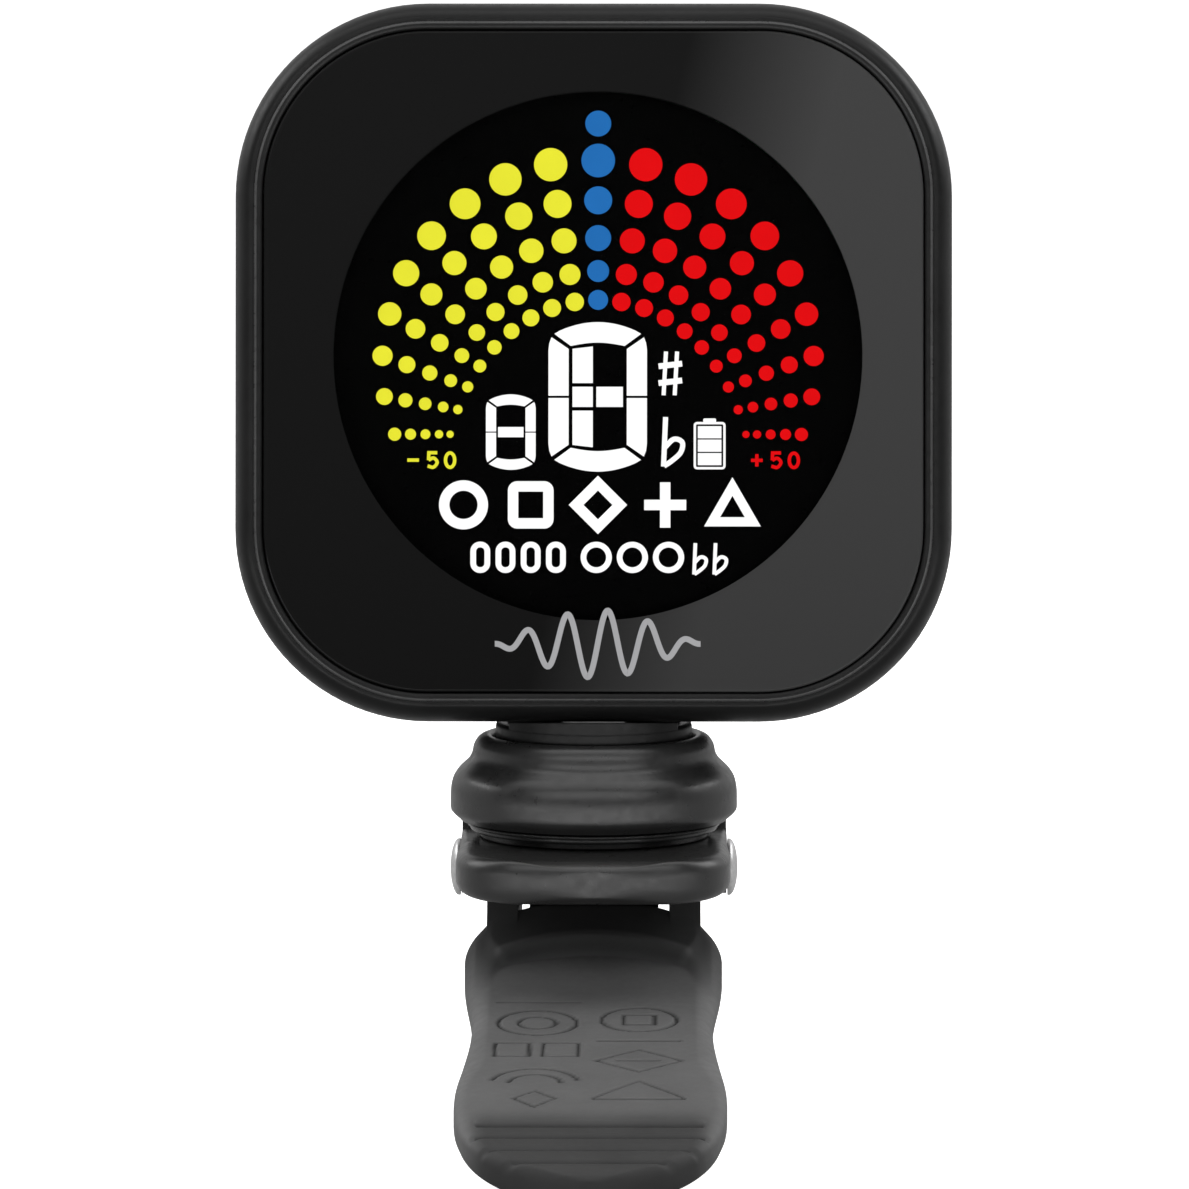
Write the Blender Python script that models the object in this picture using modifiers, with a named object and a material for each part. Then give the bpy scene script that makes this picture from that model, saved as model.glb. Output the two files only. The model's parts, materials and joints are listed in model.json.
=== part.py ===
"""Clip-on instrument tuner: a square display head on a tilting, swivelling neck over a sprung clip.

Metres, +Z up. The display faces -Y, the finger levers point to -Y and the jaws to +Y.
The origin is the middle of the upper jaw pad's gripping face.

Sizes are named below in millimetres times MM. Four empties carry the assembly, and each sits on its axis:
clip_frame (the deck of the upper lever, under the neck), clip_pivot (the pin of the two levers),
neck_axis (the swivel) and head_axis (the head's tilt, which leans the head back at rest).
A fifth, lower_frame, rides on clip_pivot and brings the deck's frame back, so that the lower lever's sizes
are given in it too.
"""

import math

import bmesh
import bpy
from mathutils import Matrix, Vector

MM = 0.001

# Where the axes are. The deck frame has the swivel axis at x = y = 0 and the deck's top at z = 0.
JAW_Y = 25.0 * MM
PAD_FACE_Z = -2.0 * MM
PIVOT_Y, PIVOT_Z = 2.0 * MM, -2.15 * MM
TILT_Y, TILT_Z = 2.4 * MM, 11.3 * MM
HEAD_LEAN = math.radians(6.5)

# Head, in its own frame: origin on the tilt axis, the display towards -Y.
HEAD_W, HEAD_H, HEAD_R = 42.7 * MM, 42.8 * MM, 11.5 * MM
HEAD_BOTTOM = -4.6 * MM
HEAD_MID = HEAD_BOTTOM + HEAD_H / 2
HEAD_FRONT, HEAD_BACK, PARTING = -8.5 * MM, 3.1 * MM, 0.3 * MM
LIP = 1.7 * MM
WALL = 1.2 * MM
BOSS_AT = 15.85 * MM
BOSS_R = 1.8 * MM
POCKET_W, POCKET_TOP, POCKET_FRONT = 12.8 * MM, 3.4 * MM, -3.3 * MM
POCKET_WALL = 0.9 * MM
PCB_REAR = -3.5 * MM
BUTTON_Z = HEAD_MID + 12.4 * MM
PORT_DEPTH, PORT_W, PORT_T = 7.1 * MM, 9.0 * MM, 3.2 * MM
PORT_Y = PCB_REAR + 0.15 * MM + PORT_T / 2

# Neck, in the deck frame.
STEM_R, STEM_TOP = 5.9 * MM, 7.0 * MM
EAR_R, EAR_IN, EAR_OUT = 2.7 * MM, 1.85 * MM, 5.2 * MM
LUG_HALF, LUG_R = 1.5 * MM, 2.3 * MM
TILT_PIN_R = 0.85 * MM

# Clip, in the deck frame.
DECK = 1.2 * MM
PIN_R = 0.9 * MM
CHEEK_IN, CHEEK_OUT, CHEEK_R = 4.57 * MM, 6.43 * MM, 1.85 * MM
EAR_WALL_IN, EAR_WALL_OUT, EAR_WALL_R = 6.75 * MM, 8.0 * MM, 1.6 * MM
NOSE_Y, NOSE_HALF, NOSE_UNDER = -12.0 * MM, 8.18 * MM, -2.6 * MM
PAD_GAP = 2.3 * MM
PAD_T, PAD_HALF_W, PAD_HALF_L = 1.0 * MM, 5.6 * MM, 5.5 * MM
PADDLE_R = 7.7 * MM
PADDLE_TIP_Y = -37.0 * MM

CORNER_STEPS = 6
ROUND_STEPS = 32
SMALL_STEPS = 14


# ---------------------------------------------------------------- scene and materials

def clear_scene():
    for obj in list(bpy.data.objects):
        bpy.data.objects.remove(obj, do_unlink=True)


def new_collection(name):
    made = bpy.data.collections.new(name)
    bpy.context.scene.collection.children.link(made)
    return made


def new_empty(name, location, parent=None, lean=0.0):
    empty = bpy.data.objects.new(name, None)
    PARTS.objects.link(empty)
    empty.empty_display_size = 5 * MM
    empty.location = location
    empty.rotation_euler = (-lean, 0, 0)
    empty.parent = parent
    return empty


def new_material(name, color, roughness, metallic=0.0):
    made = bpy.data.materials.new(name)
    made.use_nodes = True
    shader = made.node_tree.nodes["Principled BSDF"]
    shader.inputs["Base Color"].default_value = (*color, 1.0)
    shader.inputs["Roughness"].default_value = roughness
    shader.inputs["Metallic"].default_value = metallic
    return made


# ---------------------------------------------------------------- shapes

def in_mm(points):
    return [tuple(value * MM for value in point) for point in points]


def arc(centre, radii, start, end, steps):
    """Points of an elliptical arc, angles in degrees."""
    found = []
    for i in range(steps + 1):
        angle = math.radians(start + (end - start) * i / steps)
        found.append((centre[0] + radii[0] * math.cos(angle), centre[1] + radii[1] * math.sin(angle)))
    return found


def rounded_rectangle(half_w, half_h, radius, steps=CORNER_STEPS):
    """Outline round the origin, anticlockwise."""
    found = []
    for quarter, (sx, sy) in enumerate(((1, 1), (-1, 1), (-1, -1), (1, -1))):
        centre = (sx * (half_w - radius), sy * (half_h - radius))
        found += arc(centre, (radius, radius), 90 * quarter, 90 * quarter + 90, steps)
    return found


def finish(name, bm, material, parent, collection=None):
    """A mesh object from a bmesh, its faces pointing out, shaded smooth between its sharp edges."""
    bmesh.ops.recalc_face_normals(bm, faces=bm.faces)
    mesh = bpy.data.meshes.new(name)
    bm.to_mesh(mesh)
    bm.free()
    if material:
        mesh.materials.append(material)
    mesh.shade_smooth()
    mesh.set_sharp_from_angle(angle=math.radians(35))
    obj = bpy.data.objects.new(name, mesh)
    (collection or PARTS).objects.link(obj)
    obj.parent = parent
    return obj


def loft(name, rings, material, parent, closed=False, collection=None):
    """Skins rings of equal point counts. Closed joins the last ring to the first, else caps both ends."""
    bm = bmesh.new()
    loops = [[bm.verts.new(point) for point in ring] for ring in rings]
    pairs = list(zip(loops, loops[1:]))
    if closed:
        pairs.append((loops[-1], loops[0]))
    else:
        bm.faces.new(loops[0])
        bm.faces.new(loops[-1])
    count = len(loops[0])
    for first, second in pairs:
        for i in range(count):
            j = (i + 1) % count
            bm.faces.new((first[i], first[j], second[j], second[i]))
    return finish(name, bm, material, parent, collection)


def head_ring(inset, y):
    """The head's outline drawn in by an inset, at a depth y."""
    outline = rounded_rectangle(HEAD_W / 2 - inset, HEAD_H / 2 - inset, HEAD_R - inset)
    return [(x, y, HEAD_MID + z) for x, z in outline]


def head_sweep(name, profile, material, closed):
    """A profile of (inset, y) points swept round the head's outline."""
    return loft(name, [head_ring(*point) for point in profile], material, HEAD_AXIS, closed)


def turned(name, profile, material, parent, steps=ROUND_STEPS, closed=False, matrix=None, collection=None):
    """A profile of (radius, z) points, listed down its outer side, turned about Z by a Screw modifier."""
    bm = bmesh.new()
    points = [bm.verts.new((radius, 0, z)) for radius, z in profile]
    edges = list(zip(points, points[1:]))
    if closed:
        edges.append((points[-1], points[0]))
    for edge in edges:
        bm.edges.new(edge)
    mesh = bpy.data.meshes.new(name)
    bm.to_mesh(mesh)
    bm.free()
    if material:
        mesh.materials.append(material)
    obj = bpy.data.objects.new(name, mesh)
    (collection or PARTS).objects.link(obj)
    obj.parent = parent
    obj.matrix_local = matrix or Matrix.Identity(4)
    screw = obj.modifiers.new("turn", "SCREW")
    screw.axis = "Z"
    screw.steps = steps
    screw.render_steps = steps
    screw.use_merge_vertices = True
    screw.merge_threshold = 1e-6
    screw.use_smooth_shade = True
    return obj


def extruded(name, outline, low, high, plane, material, parent, collection=None):
    """A flat outline given thickness. Plane XY extrudes along Z, XZ along Y, and YZ along X."""
    place = {
        "XY": lambda a, b, c: (a, b, c),
        "XZ": lambda a, b, c: (a, c, b),
        "YZ": lambda a, b, c: (c, a, b),
    }[plane]
    curve = bpy.data.curves.new(name, "CURVE")
    curve.dimensions = "2D"
    curve.fill_mode = "BOTH"
    curve.extrude = 0.5
    spline = curve.splines.new("POLY")
    spline.points.add(len(outline) - 1)
    for point, (a, b) in zip(spline.points, outline):
        point.co = (a, b, 0, 1)
    spline.use_cyclic_u = True
    guide = bpy.data.objects.new(name + "_outline", curve)
    bpy.context.scene.collection.objects.link(guide)
    bpy.context.view_layer.update()
    filled = bpy.data.meshes.new_from_object(guide.evaluated_get(bpy.context.evaluated_depsgraph_get()))
    bpy.data.objects.remove(guide, do_unlink=True)
    bm = bmesh.new()
    bm.from_mesh(filled)
    bmesh.ops.remove_doubles(bm, verts=bm.verts, dist=1e-7)
    for vert in bm.verts:
        a, b, c = vert.co
        vert.co = place(a, b, low if c < 0 else high)
    return finish(name, bm, material, parent, collection)


def box(name, low, high, material, parent, collection=None):
    """A box between two corners, from a primitive cube."""
    bm = bmesh.new()
    size = [b - a for a, b in zip(low, high)]
    middle = [(a + b) / 2 for a, b in zip(low, high)]
    bmesh.ops.create_cube(bm, size=1.0, matrix=Matrix.Translation(middle) @ Matrix.Diagonal((*size, 1)))
    return finish(name, bm, material, parent, collection)


def along(axis, start):
    """The matrix that puts a turned shape's Z on an axis, with its z = 0 at start."""
    turn = Vector((0, 0, 1)).rotation_difference(Vector(axis)).to_matrix().to_4x4()
    return Matrix.Translation(start) @ turn


def rod_profile(radius, low, high):
    return [(0, high), (radius, high), (radius, low), (0, low)]


# ---------------------------------------------------------------- cutting and joining

def combine(obj, operation, other):
    modifier = obj.modifiers.new(other.name, "BOOLEAN")
    modifier.operation = operation
    modifier.object = other
    other.hide_render = True
    other.display_type = "WIRE"
    return obj


def cut_box(obj, low, high):
    name = f"{obj.name}_cut_{len(obj.modifiers)}"
    return combine(obj, "DIFFERENCE", box(name, low, high, None, obj.parent, CUTTERS))


def add_box(obj, low, high):
    name = f"{obj.name}_add_{len(obj.modifiers)}"
    return combine(obj, "UNION", box(name, low, high, None, obj.parent, CUTTERS))


def cut_rod(obj, radius, start, end, steps=SMALL_STEPS):
    return rod(obj, "DIFFERENCE", radius, start, end, steps)


def add_rod(obj, radius, start, end, steps=SMALL_STEPS):
    return rod(obj, "UNION", radius, start, end, steps)


def rod(obj, operation, radius, start, end, steps):
    name = f"{obj.name}_rod_{len(obj.modifiers)}"
    span = Vector(end) - Vector(start)
    place = along(span.normalized(), start)
    made = turned(name, rod_profile(radius, 0, span.length), None, obj.parent, steps, False, place, CUTTERS)
    return combine(obj, operation, made)


def cut_outline(obj, outline, low, high, plane):
    name = f"{obj.name}_cut_{len(obj.modifiers)}"
    return combine(obj, "DIFFERENCE", extruded(name, outline, low, high, plane, None, obj.parent, CUTTERS))


def add_outline(obj, outline, low, high, plane):
    name = f"{obj.name}_add_{len(obj.modifiers)}"
    return combine(obj, "UNION", extruded(name, outline, low, high, plane, None, obj.parent, CUTTERS))


def keep_inside(obj, radius, low, high):
    name = f"{obj.name}_keep"
    made = turned(name, rod_profile(radius, low, high), None, obj.parent, ROUND_STEPS, False, None, CUTTERS)
    return combine(obj, "INTERSECT", made)


# ---------------------------------------------------------------- fasteners

def make_screw(name, start, axis, parent, head_r, head_t, shank_r, length):
    """A cross-head screw. Start is under the head, and axis points out of the head."""
    profile = [
        (0, head_t),
        (head_r * 0.8, head_t),
        (head_r, head_t * 0.7),
        (head_r, 0),
        (shank_r, 0),
        (shank_r, -length + shank_r),
        (shank_r * 0.4, -length),
        (0, -length),
    ]
    screw = turned(name, profile, STEEL, parent, SMALL_STEPS, False, along(axis, start))
    slot_l, slot_w, slot_d = head_r * 0.6, head_r * 0.14, head_t * 0.45
    for i, (half_x, half_y) in enumerate(((slot_l, slot_w), (slot_w, slot_l))):
        low = (-half_x, -half_y, head_t - slot_d)
        high = (half_x, half_y, head_t + slot_d)
        slot = box(f"{name}_slot_{i}", low, high, None, parent, CUTTERS)
        slot.matrix_local = along(axis, start)
        combine(screw, "DIFFERENCE", slot)
    return screw


# ---------------------------------------------------------------- head

def boss_places():
    return [
        (f"{row}_{side}", sx * BOSS_AT, HEAD_MID + sz * BOSS_AT)
        for row, sz in (("top", 1), ("bottom", -1))
        for side, sx in (("left", -1), ("right", 1))
    ]


def make_front_bezel():
    """The front half of the casing: a rounded lip round the lens, walls, and a ledge the lens sits on."""
    ledge, ledge_front, ledge_back = 3.5 * MM, -7.08 * MM, -6.2 * MM
    round_y = 2.4 * MM
    rear = PARTING - 0.05 * MM
    lip = arc((LIP, HEAD_FRONT + round_y), (LIP, round_y), 270, 180, 6)
    profile = [(LIP, ledge_front)] + lip + [
        (0, rear),
        (WALL, rear),
        (WALL, ledge_back),
        (ledge, ledge_back),
        (ledge, ledge_front),
    ]
    bezel = head_sweep("front_bezel", profile, BLACK, True)
    for _, x, z in boss_places():
        add_rod(bezel, BOSS_R, (x, ledge_back - 0.3 * MM, z), (x, rear - 0.15 * MM, z))
    for _, x, z in boss_places():
        cut_rod(bezel, 0.7 * MM, (x, -4.8 * MM, z), (x, PARTING + 1 * MM, z), 12)
    neck = POCKET_W / 2
    cut_box(bezel, (-neck, -5.5 * MM, HEAD_BOTTOM - 1 * MM), (neck, 1 * MM, HEAD_BOTTOM + 1.7 * MM))
    slot = rounded_rectangle(PORT_T / 2 + 0.15 * MM, PORT_W / 2 + 0.15 * MM, 1.5 * MM, 4)
    slot = [(PORT_Y + y, HEAD_MID + z) for y, z in slot]
    cut_outline(bezel, slot, HEAD_W / 2 - 2 * MM, HEAD_W / 2 + 1 * MM, "YZ")
    return bezel


def make_lens_stack():
    """Lens, its adhesive gasket, the display in its frame, and the backlight behind it."""
    edge = LIP + 0.07 * MM
    front, back = -8.42 * MM, -7.42 * MM
    profile = [(edge + 0.18 * MM, front), (edge, front + 0.18 * MM), (edge, back)]
    head_sweep("display_lens", profile, LENS, False)
    gasket_outer, gasket_inner = edge + 0.2 * MM, 3.3 * MM
    profile = [(gasket_outer, -7.36 * MM), (gasket_outer, -7.14 * MM), (gasket_inner, -7.14 * MM),
               (gasket_inner, -7.36 * MM)]
    head_sweep("lens_gasket", profile, RUBBER, True)

    half, corner, bore = 17.4 * MM, 11.0 * MM, 16.4 * MM
    frame = extruded("display_frame", centred(rounded_rectangle(half, half, corner)),
                     -6.9 * MM, -4.6 * MM, "XZ", DARK, HEAD_AXIS)
    cut_rod(frame, bore, (0, -8 * MM, HEAD_MID), (0, -4 * MM, HEAD_MID), ROUND_STEPS)
    disc = bore - 0.25 * MM
    facing = along((0, -1, 0), (0, 0, HEAD_MID))
    turned("display_panel", rod_profile(disc, 5.75 * MM, 6.85 * MM), DISPLAY, HEAD_AXIS, matrix=facing)
    turned("backlight", rod_profile(disc, 4.75 * MM, 5.6 * MM), WHITE, HEAD_AXIS, matrix=facing)


def centred(outline):
    """An outline in the head's XZ plane, moved to the middle of the head."""
    return [(x, HEAD_MID + z) for x, z in outline]


def make_electronics():
    half, corner, thick = 17.5 * MM, 11.0 * MM, 0.8 * MM
    board = extruded("circuit_board", centred(rounded_rectangle(half, half, corner)),
                     PCB_REAR - thick, PCB_REAR, "XZ", GREEN, HEAD_AXIS)
    notch = POCKET_W / 2 + POCKET_WALL + 0.3 * MM
    notch_top = POCKET_TOP + POCKET_WALL + 0.3 * MM
    cut_box(board, (-notch, -6 * MM, -6 * MM), (notch, 0, notch_top))

    on_board = PCB_REAR + 0.1 * MM
    chip = box("tuner_chip", (11.4 * MM, on_board, 23.2 * MM), (15.9 * MM, on_board + 0.9 * MM, 27.2 * MM),
               DARK, HEAD_AXIS)
    soften(chip, 0.15 * MM, 1)
    cell = box("battery_cell", (-11 * MM, -2.9 * MM, 6 * MM), (11 * MM, 0.5 * MM, 22 * MM), SILVER, HEAD_AXIS)
    soften(cell, 0.9 * MM, 3)

    face = along((0, 1, 0), (0, 0, 14 * MM))
    turned("vibration_sensor", rod_profile(5 * MM, 1.15 * MM, 1.6 * MM), BRASS, HEAD_AXIS, matrix=face)

    outside = HEAD_W / 2 - 0.25 * MM
    shell = [(PORT_Y + y, HEAD_MID + z) for y, z in rounded_rectangle(PORT_T / 2, PORT_W / 2, 1.4 * MM, 4)]
    port = extruded("charging_port", shell, outside - PORT_DEPTH, outside, "YZ", STEEL, HEAD_AXIS)
    inner = rounded_rectangle(PORT_T / 2 - 0.3 * MM, PORT_W / 2 - 0.3 * MM, 1.15 * MM, 4)
    inner = [(PORT_Y + y, HEAD_MID + z) for y, z in inner]
    cut_outline(port, inner, outside - PORT_DEPTH + 0.8 * MM, outside + 1 * MM, "YZ")
    tongue = (outside - PORT_DEPTH + 0.5 * MM, PORT_Y - 0.35 * MM, HEAD_MID - 3.3 * MM)
    add_box(port, tongue, (outside - 0.8 * MM, PORT_Y + 0.35 * MM, HEAD_MID + 3.3 * MM))

    for name, x, _ in button_places():
        switch = box(f"{name}_switch", (x - 2 * MM, on_board, BUTTON_Z - 2 * MM),
                     (x + 2 * MM, on_board + 1.2 * MM, BUTTON_Z + 2 * MM), STEEL, HEAD_AXIS)
        add_rod(switch, 0.9 * MM, (x, on_board + 1 * MM, BUTTON_Z), (x, on_board + 1.7 * MM, BUTTON_Z), 16)


def soften(obj, width, segments):
    bevel = obj.modifiers.new("rounded edges", "BEVEL")
    bevel.width = width
    bevel.segments = segments
    return obj


def button_places():
    return (("power", 0.0, 3.0 * MM), ("mode", -9.5 * MM, 2.3 * MM), ("pitch", 9.5 * MM, 2.3 * MM))


def make_rear_cover():
    """The rear half of the casing, with a pocket for the neck, a hinge lug, screw posts and button holes."""
    round_in, round_y = 4.0 * MM, HEAD_BACK - PARTING
    front = PARTING + 0.05 * MM
    outer = arc((round_in, front), (round_in, round_y - 0.05 * MM), 90, 180, 6)
    profile = outer + [(WALL + 0.1 * MM, front), (3.4 * MM, 1.9 * MM)]
    cover = head_sweep("rear_cover", profile, BLACK, False)

    neck, floor = POCKET_W / 2, POCKET_FRONT - POCKET_WALL
    wall, bottom = neck + POCKET_WALL, HEAD_BOTTOM + 1.35 * MM
    add_box(cover, (-wall, floor, bottom), (wall, 2.2 * MM, POCKET_TOP + POCKET_WALL))
    add_box(cover, (-neck + 0.15 * MM, -5.35 * MM, -4.2 * MM), (neck - 0.15 * MM, POCKET_FRONT, -3.0 * MM))
    for _, x, z in boss_places():
        add_rod(cover, BOSS_R, (x, front, z), (x, 2.0 * MM, z))
    cut_box(cover, (-neck, POCKET_FRONT, -8 * MM), (neck, 5 * MM, POCKET_TOP))
    lug = LUG_HALF
    add_box(cover, (-lug, POCKET_FRONT - 0.3 * MM, -LUG_R), (lug, 0, LUG_R))
    add_rod(cover, LUG_R, (-lug, 0, 0), (lug, 0, 0), 24)
    cut_rod(cover, TILT_PIN_R + 0.1 * MM, (-5 * MM, 0, 0), (5 * MM, 0, 0))
    for _, x, z in boss_places():
        cut_rod(cover, 0.8 * MM, (x, -2 * MM, z), (x, 5 * MM, z), 12)
        cut_rod(cover, 1.5 * MM, (x, 1.5 * MM, z), (x, 5 * MM, z))
    for _, x, radius in button_places():
        cut_rod(cover, radius + 0.12 * MM, (x, 0, BUTTON_Z), (x, 5 * MM, BUTTON_Z), 24)
    return cover


def make_buttons():
    """Push buttons held in by a flange, with a stem that reaches the switch on the board."""
    for name, x, radius in button_places():
        top, flange, tip = HEAD_BACK + 0.25 * MM, 1.75 * MM, -1.2 * MM
        profile = [
            (0, top),
            (radius * 0.75, top),
            (radius - 0.1 * MM, top - 0.12 * MM),
            (radius, top - 0.35 * MM),
            (radius, flange),
            (radius + 0.6 * MM, flange),
            (radius + 0.6 * MM, flange - 0.5 * MM),
            (0.9 * MM, flange - 0.5 * MM),
            (0.9 * MM, tip),
            (0, tip),
        ]
        face = along((0, 1, 0), (x, 0, BUTTON_Z))
        turned(f"{name}_button", profile, DARK, HEAD_AXIS, 18, False, face)


def make_cover_screws():
    for place, x, z in boss_places():
        make_screw(f"cover_screw_{place}", (x, 1.6 * MM, z), (0, 1, 0), HEAD_AXIS,
                   1.35 * MM, 0.8 * MM, 0.6 * MM, 5.6 * MM)


# ---------------------------------------------------------------- neck

def make_swivel_turret():
    """A turned stem with a flange the socket holds down, and two ears for the head's lug."""
    stem = turned("swivel_turret", in_mm([
        (0, 7.0), (5.6, 7.0), (5.9, 6.75), (5.9, 5.3), (6.5, 5.3), (6.5, 4.4), (0, 4.4),
    ]), BLACK, NECK_AXIS)
    ears = box("swivel_turret_ears", (-EAR_OUT, TILT_Y - EAR_R, STEM_TOP - 0.5 * MM),
               (EAR_OUT, TILT_Y + EAR_R, TILT_Z), None, NECK_AXIS, CUTTERS)
    add_rod(ears, EAR_R, (-EAR_OUT, TILT_Y, TILT_Z), (EAR_OUT, TILT_Y, TILT_Z), 24)
    keep_inside(ears, STEM_R - 0.05 * MM, 0, 20 * MM)
    cut_box(ears, (-EAR_IN, -9 * MM, STEM_TOP + 0.05 * MM), (EAR_IN, 9 * MM, 20 * MM))
    combine(stem, "UNION", ears)
    cut_rod(stem, TILT_PIN_R + 0.1 * MM, (-8 * MM, TILT_Y, TILT_Z), (8 * MM, TILT_Y, TILT_Z))
    for side in (-1, 1):
        start = (side * (EAR_OUT - 1.1 * MM), TILT_Y, TILT_Z)
        cut_rod(stem, 1.75 * MM, start, (side * 9 * MM, TILT_Y, TILT_Z))
    return stem


def make_tilt_fasteners():
    """The screw through the ears and the lug, its nut, and a friction washer on each side of the lug."""
    start = (-(EAR_OUT - 1.0 * MM), TILT_Y, TILT_Z)
    make_screw("tilt_screw", start, (-1, 0, 0), NECK_AXIS, 1.5 * MM, 0.9 * MM, TILT_PIN_R, 8.9 * MM)
    inside = EAR_OUT - 1.0 * MM
    nut_r, nut_t, nut_bore = 1.55 * MM, 0.9 * MM, TILT_PIN_R + 0.08 * MM
    profile = [(nut_r, nut_t), (nut_r, 0), (nut_bore, 0), (nut_bore, nut_t)]
    turned("tilt_nut", profile, STEEL, NECK_AXIS, 6, True, along((1, 0, 0), (inside, TILT_Y, TILT_Z)))
    bore, rim = TILT_PIN_R + 0.1 * MM, 2.1 * MM
    for name, x in (("left", -EAR_IN + 0.05 * MM), ("right", LUG_HALF + 0.05 * MM)):
        profile = [(rim, 0.25 * MM), (rim, 0), (bore, 0), (bore, 0.25 * MM)]
        place = along((1, 0, 0), (x, TILT_Y, TILT_Z))
        turned(f"tilt_washer_{name}", profile, STEEL, NECK_AXIS, 16, True, place)


def make_swivel_socket():
    """The cup the turret turns in: a turned shell with an inward lip over the turret's flange."""
    turned("swivel_socket", in_mm([
        (6.1, 6.05), (6.25, 6.2), (6.6, 6.2), (6.95, 6.0), (7.2, 5.6), (7.32, 5.1), (7.5, 4.75), (7.8, 4.45),
        (8.15, 4.1), (8.45, 3.6), (8.6, 2.9), (8.62, 1.75), (8.4, 1.45), (8.02, 1.1),
        (6.75, 1.1), (6.75, 5.4), (6.1, 5.4),
    ]), BLACK, CLIP_FRAME, closed=True)


def make_swivel_base():
    """A stepped ring under the socket, screwed to the deck. Its upper rim carries the friction ring."""
    base = turned("swivel_base", in_mm([
        (5.8, 3.5), (6.5, 3.5), (6.5, 0.98), (7.5, 0.98), (7.62, 0.8), (7.5, 0.45), (7.1, 0.1),
        (2.4, 0.1), (2.4, 0.8), (5.8, 0.8),
    ]), GLOSS, CLIP_FRAME, closed=True)
    for x, y in base_screw_places():
        cut_rod(base, 0.8 * MM, (x, y, -1 * MM), (x, y, 2 * MM), 16)
    turned("friction_ring", in_mm([(6.4, 4.2), (6.4, 3.6), (5.2, 3.6), (5.2, 4.2)]), RUBBER, CLIP_FRAME,
           closed=True)
    for i, (x, y) in enumerate(base_screw_places()):
        side = ("left", "right")[i]
        make_screw(f"base_screw_{side}", (x, y, 0.9 * MM), (0, 0, 1), CLIP_FRAME,
                   1.2 * MM, 0.7 * MM, 0.6 * MM, 2.6 * MM)


def base_screw_places():
    return [(-3.1 * MM, -3.1 * MM), (3.1 * MM, -3.1 * MM)]


# ---------------------------------------------------------------- clip

def section(half_w, top, bottom, radius, y, steps=4):
    """A rounded cross-section in the XZ plane at a depth y."""
    half_h = (top - bottom) / 2
    outline = rounded_rectangle(half_w, half_h, min(radius, half_h * 0.98, half_w * 0.98), steps)
    return [(x, y, (top + bottom) / 2 + z) for x, z in outline]


def nose_half_width(y):
    """Half the width of the upper lever's rounded front end."""
    length = 6.5 * MM
    share = min(1.0, (y - NOSE_Y) / length)
    return NOSE_HALF * math.sqrt(max(0.0, 1 - (1 - share) ** 2.6))


def make_upper_lever():
    """The fixed lever: a rounded finger plate in front, pivot walls, and a jaw behind."""
    stations = []
    for step in (0.1, 0.35, 0.8, 1.5, 2.5, 3.8, 5.2, 6.5):
        y = NOSE_Y + step * MM
        ease = 0.35 * MM * max(0.0, 1 - step / 1.5)
        stations.append(section(nose_half_width(y), -ease, NOSE_UNDER + ease, 0.9 * MM, y))
    stations.append(section(NOSE_HALF, 0, NOSE_UNDER, 0.9 * MM, -3.0 * MM))
    widest = EAR_WALL_OUT + 0.03 * MM
    stations.append(section(widest, 0, -2.3 * MM, 0.5 * MM, -1.6 * MM))
    stations.append(section(widest, 0, -2.3 * MM, 0.4 * MM, 5.5 * MM))
    for y, half_w, top, bottom in in_mm([
        (8.0, 7.6, 0.05, -2.3), (11.0, 7.2, 0.4, -2.2), (14.0, 7.0, 0.9, -1.8), (17.5, 6.9, 1.2, -1.0),
        (28.0, 6.9, 1.2, -1.0), (30.5, 6.3, 1.0, -0.9), (31.6, 4.9, 0.8, -0.7), (32.0, 3.4, 0.6, -0.5),
    ]):
        stations.append(section(half_w, top, bottom, 0.5 * MM, y))
    lever = loft("upper_lever", stations, BLACK, CLIP_FRAME)

    # The pivot walls and the low rails beside the neck.
    for side in (-1, 1):
        low, high = sorted((side * EAR_WALL_IN, side * EAR_WALL_OUT))
        outline = [(-0.9, -1.0)] + [(y / MM, z / MM) for y, z in
                                    arc((PIVOT_Y, PIVOT_Z), (EAR_WALL_R, EAR_WALL_R), 190, 350, 8)]
        outline += [(6.0, -1.0), (8.4, -0.9), (8.0, 0.72), (4.1, 0.72), (3.6, -0.8)]
        add_outline(lever, in_mm(outline), low, high, "YZ")
    # Under the deck: a hollow in front, and room for the lower lever and the spring behind it.
    inner = [(-6.6, -1.4), (-6.6, -7.5), (-4.6, -10.2), (-2.0, -10.9), (2.0, -10.9), (4.6, -10.2),
             (6.6, -7.5), (6.6, -1.4)]
    cut_outline(lever, in_mm(inner), -6 * MM, -DECK, "XY")
    cut_box(lever, *in_mm([(-6.65, -1.8, -6), (6.65, 16.2, -1.22)]))
    cut_box(lever, *in_mm([(-6.6, -0.1, -6), (6.6, 4.15, 3)]))
    for x, y in base_screw_places():
        add_rod(lever, 1.3 * MM, (x, y, -2.0 * MM), (x, y, -0.5 * MM))
        cut_rod(lever, 0.7 * MM, (x, y, -4 * MM), (x, y, 2 * MM), 16)
    cut_rod(lever, PIN_R + 0.05 * MM, (-9 * MM, PIVOT_Y, PIVOT_Z), (9 * MM, PIVOT_Y, PIVOT_Z))
    return lever


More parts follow.
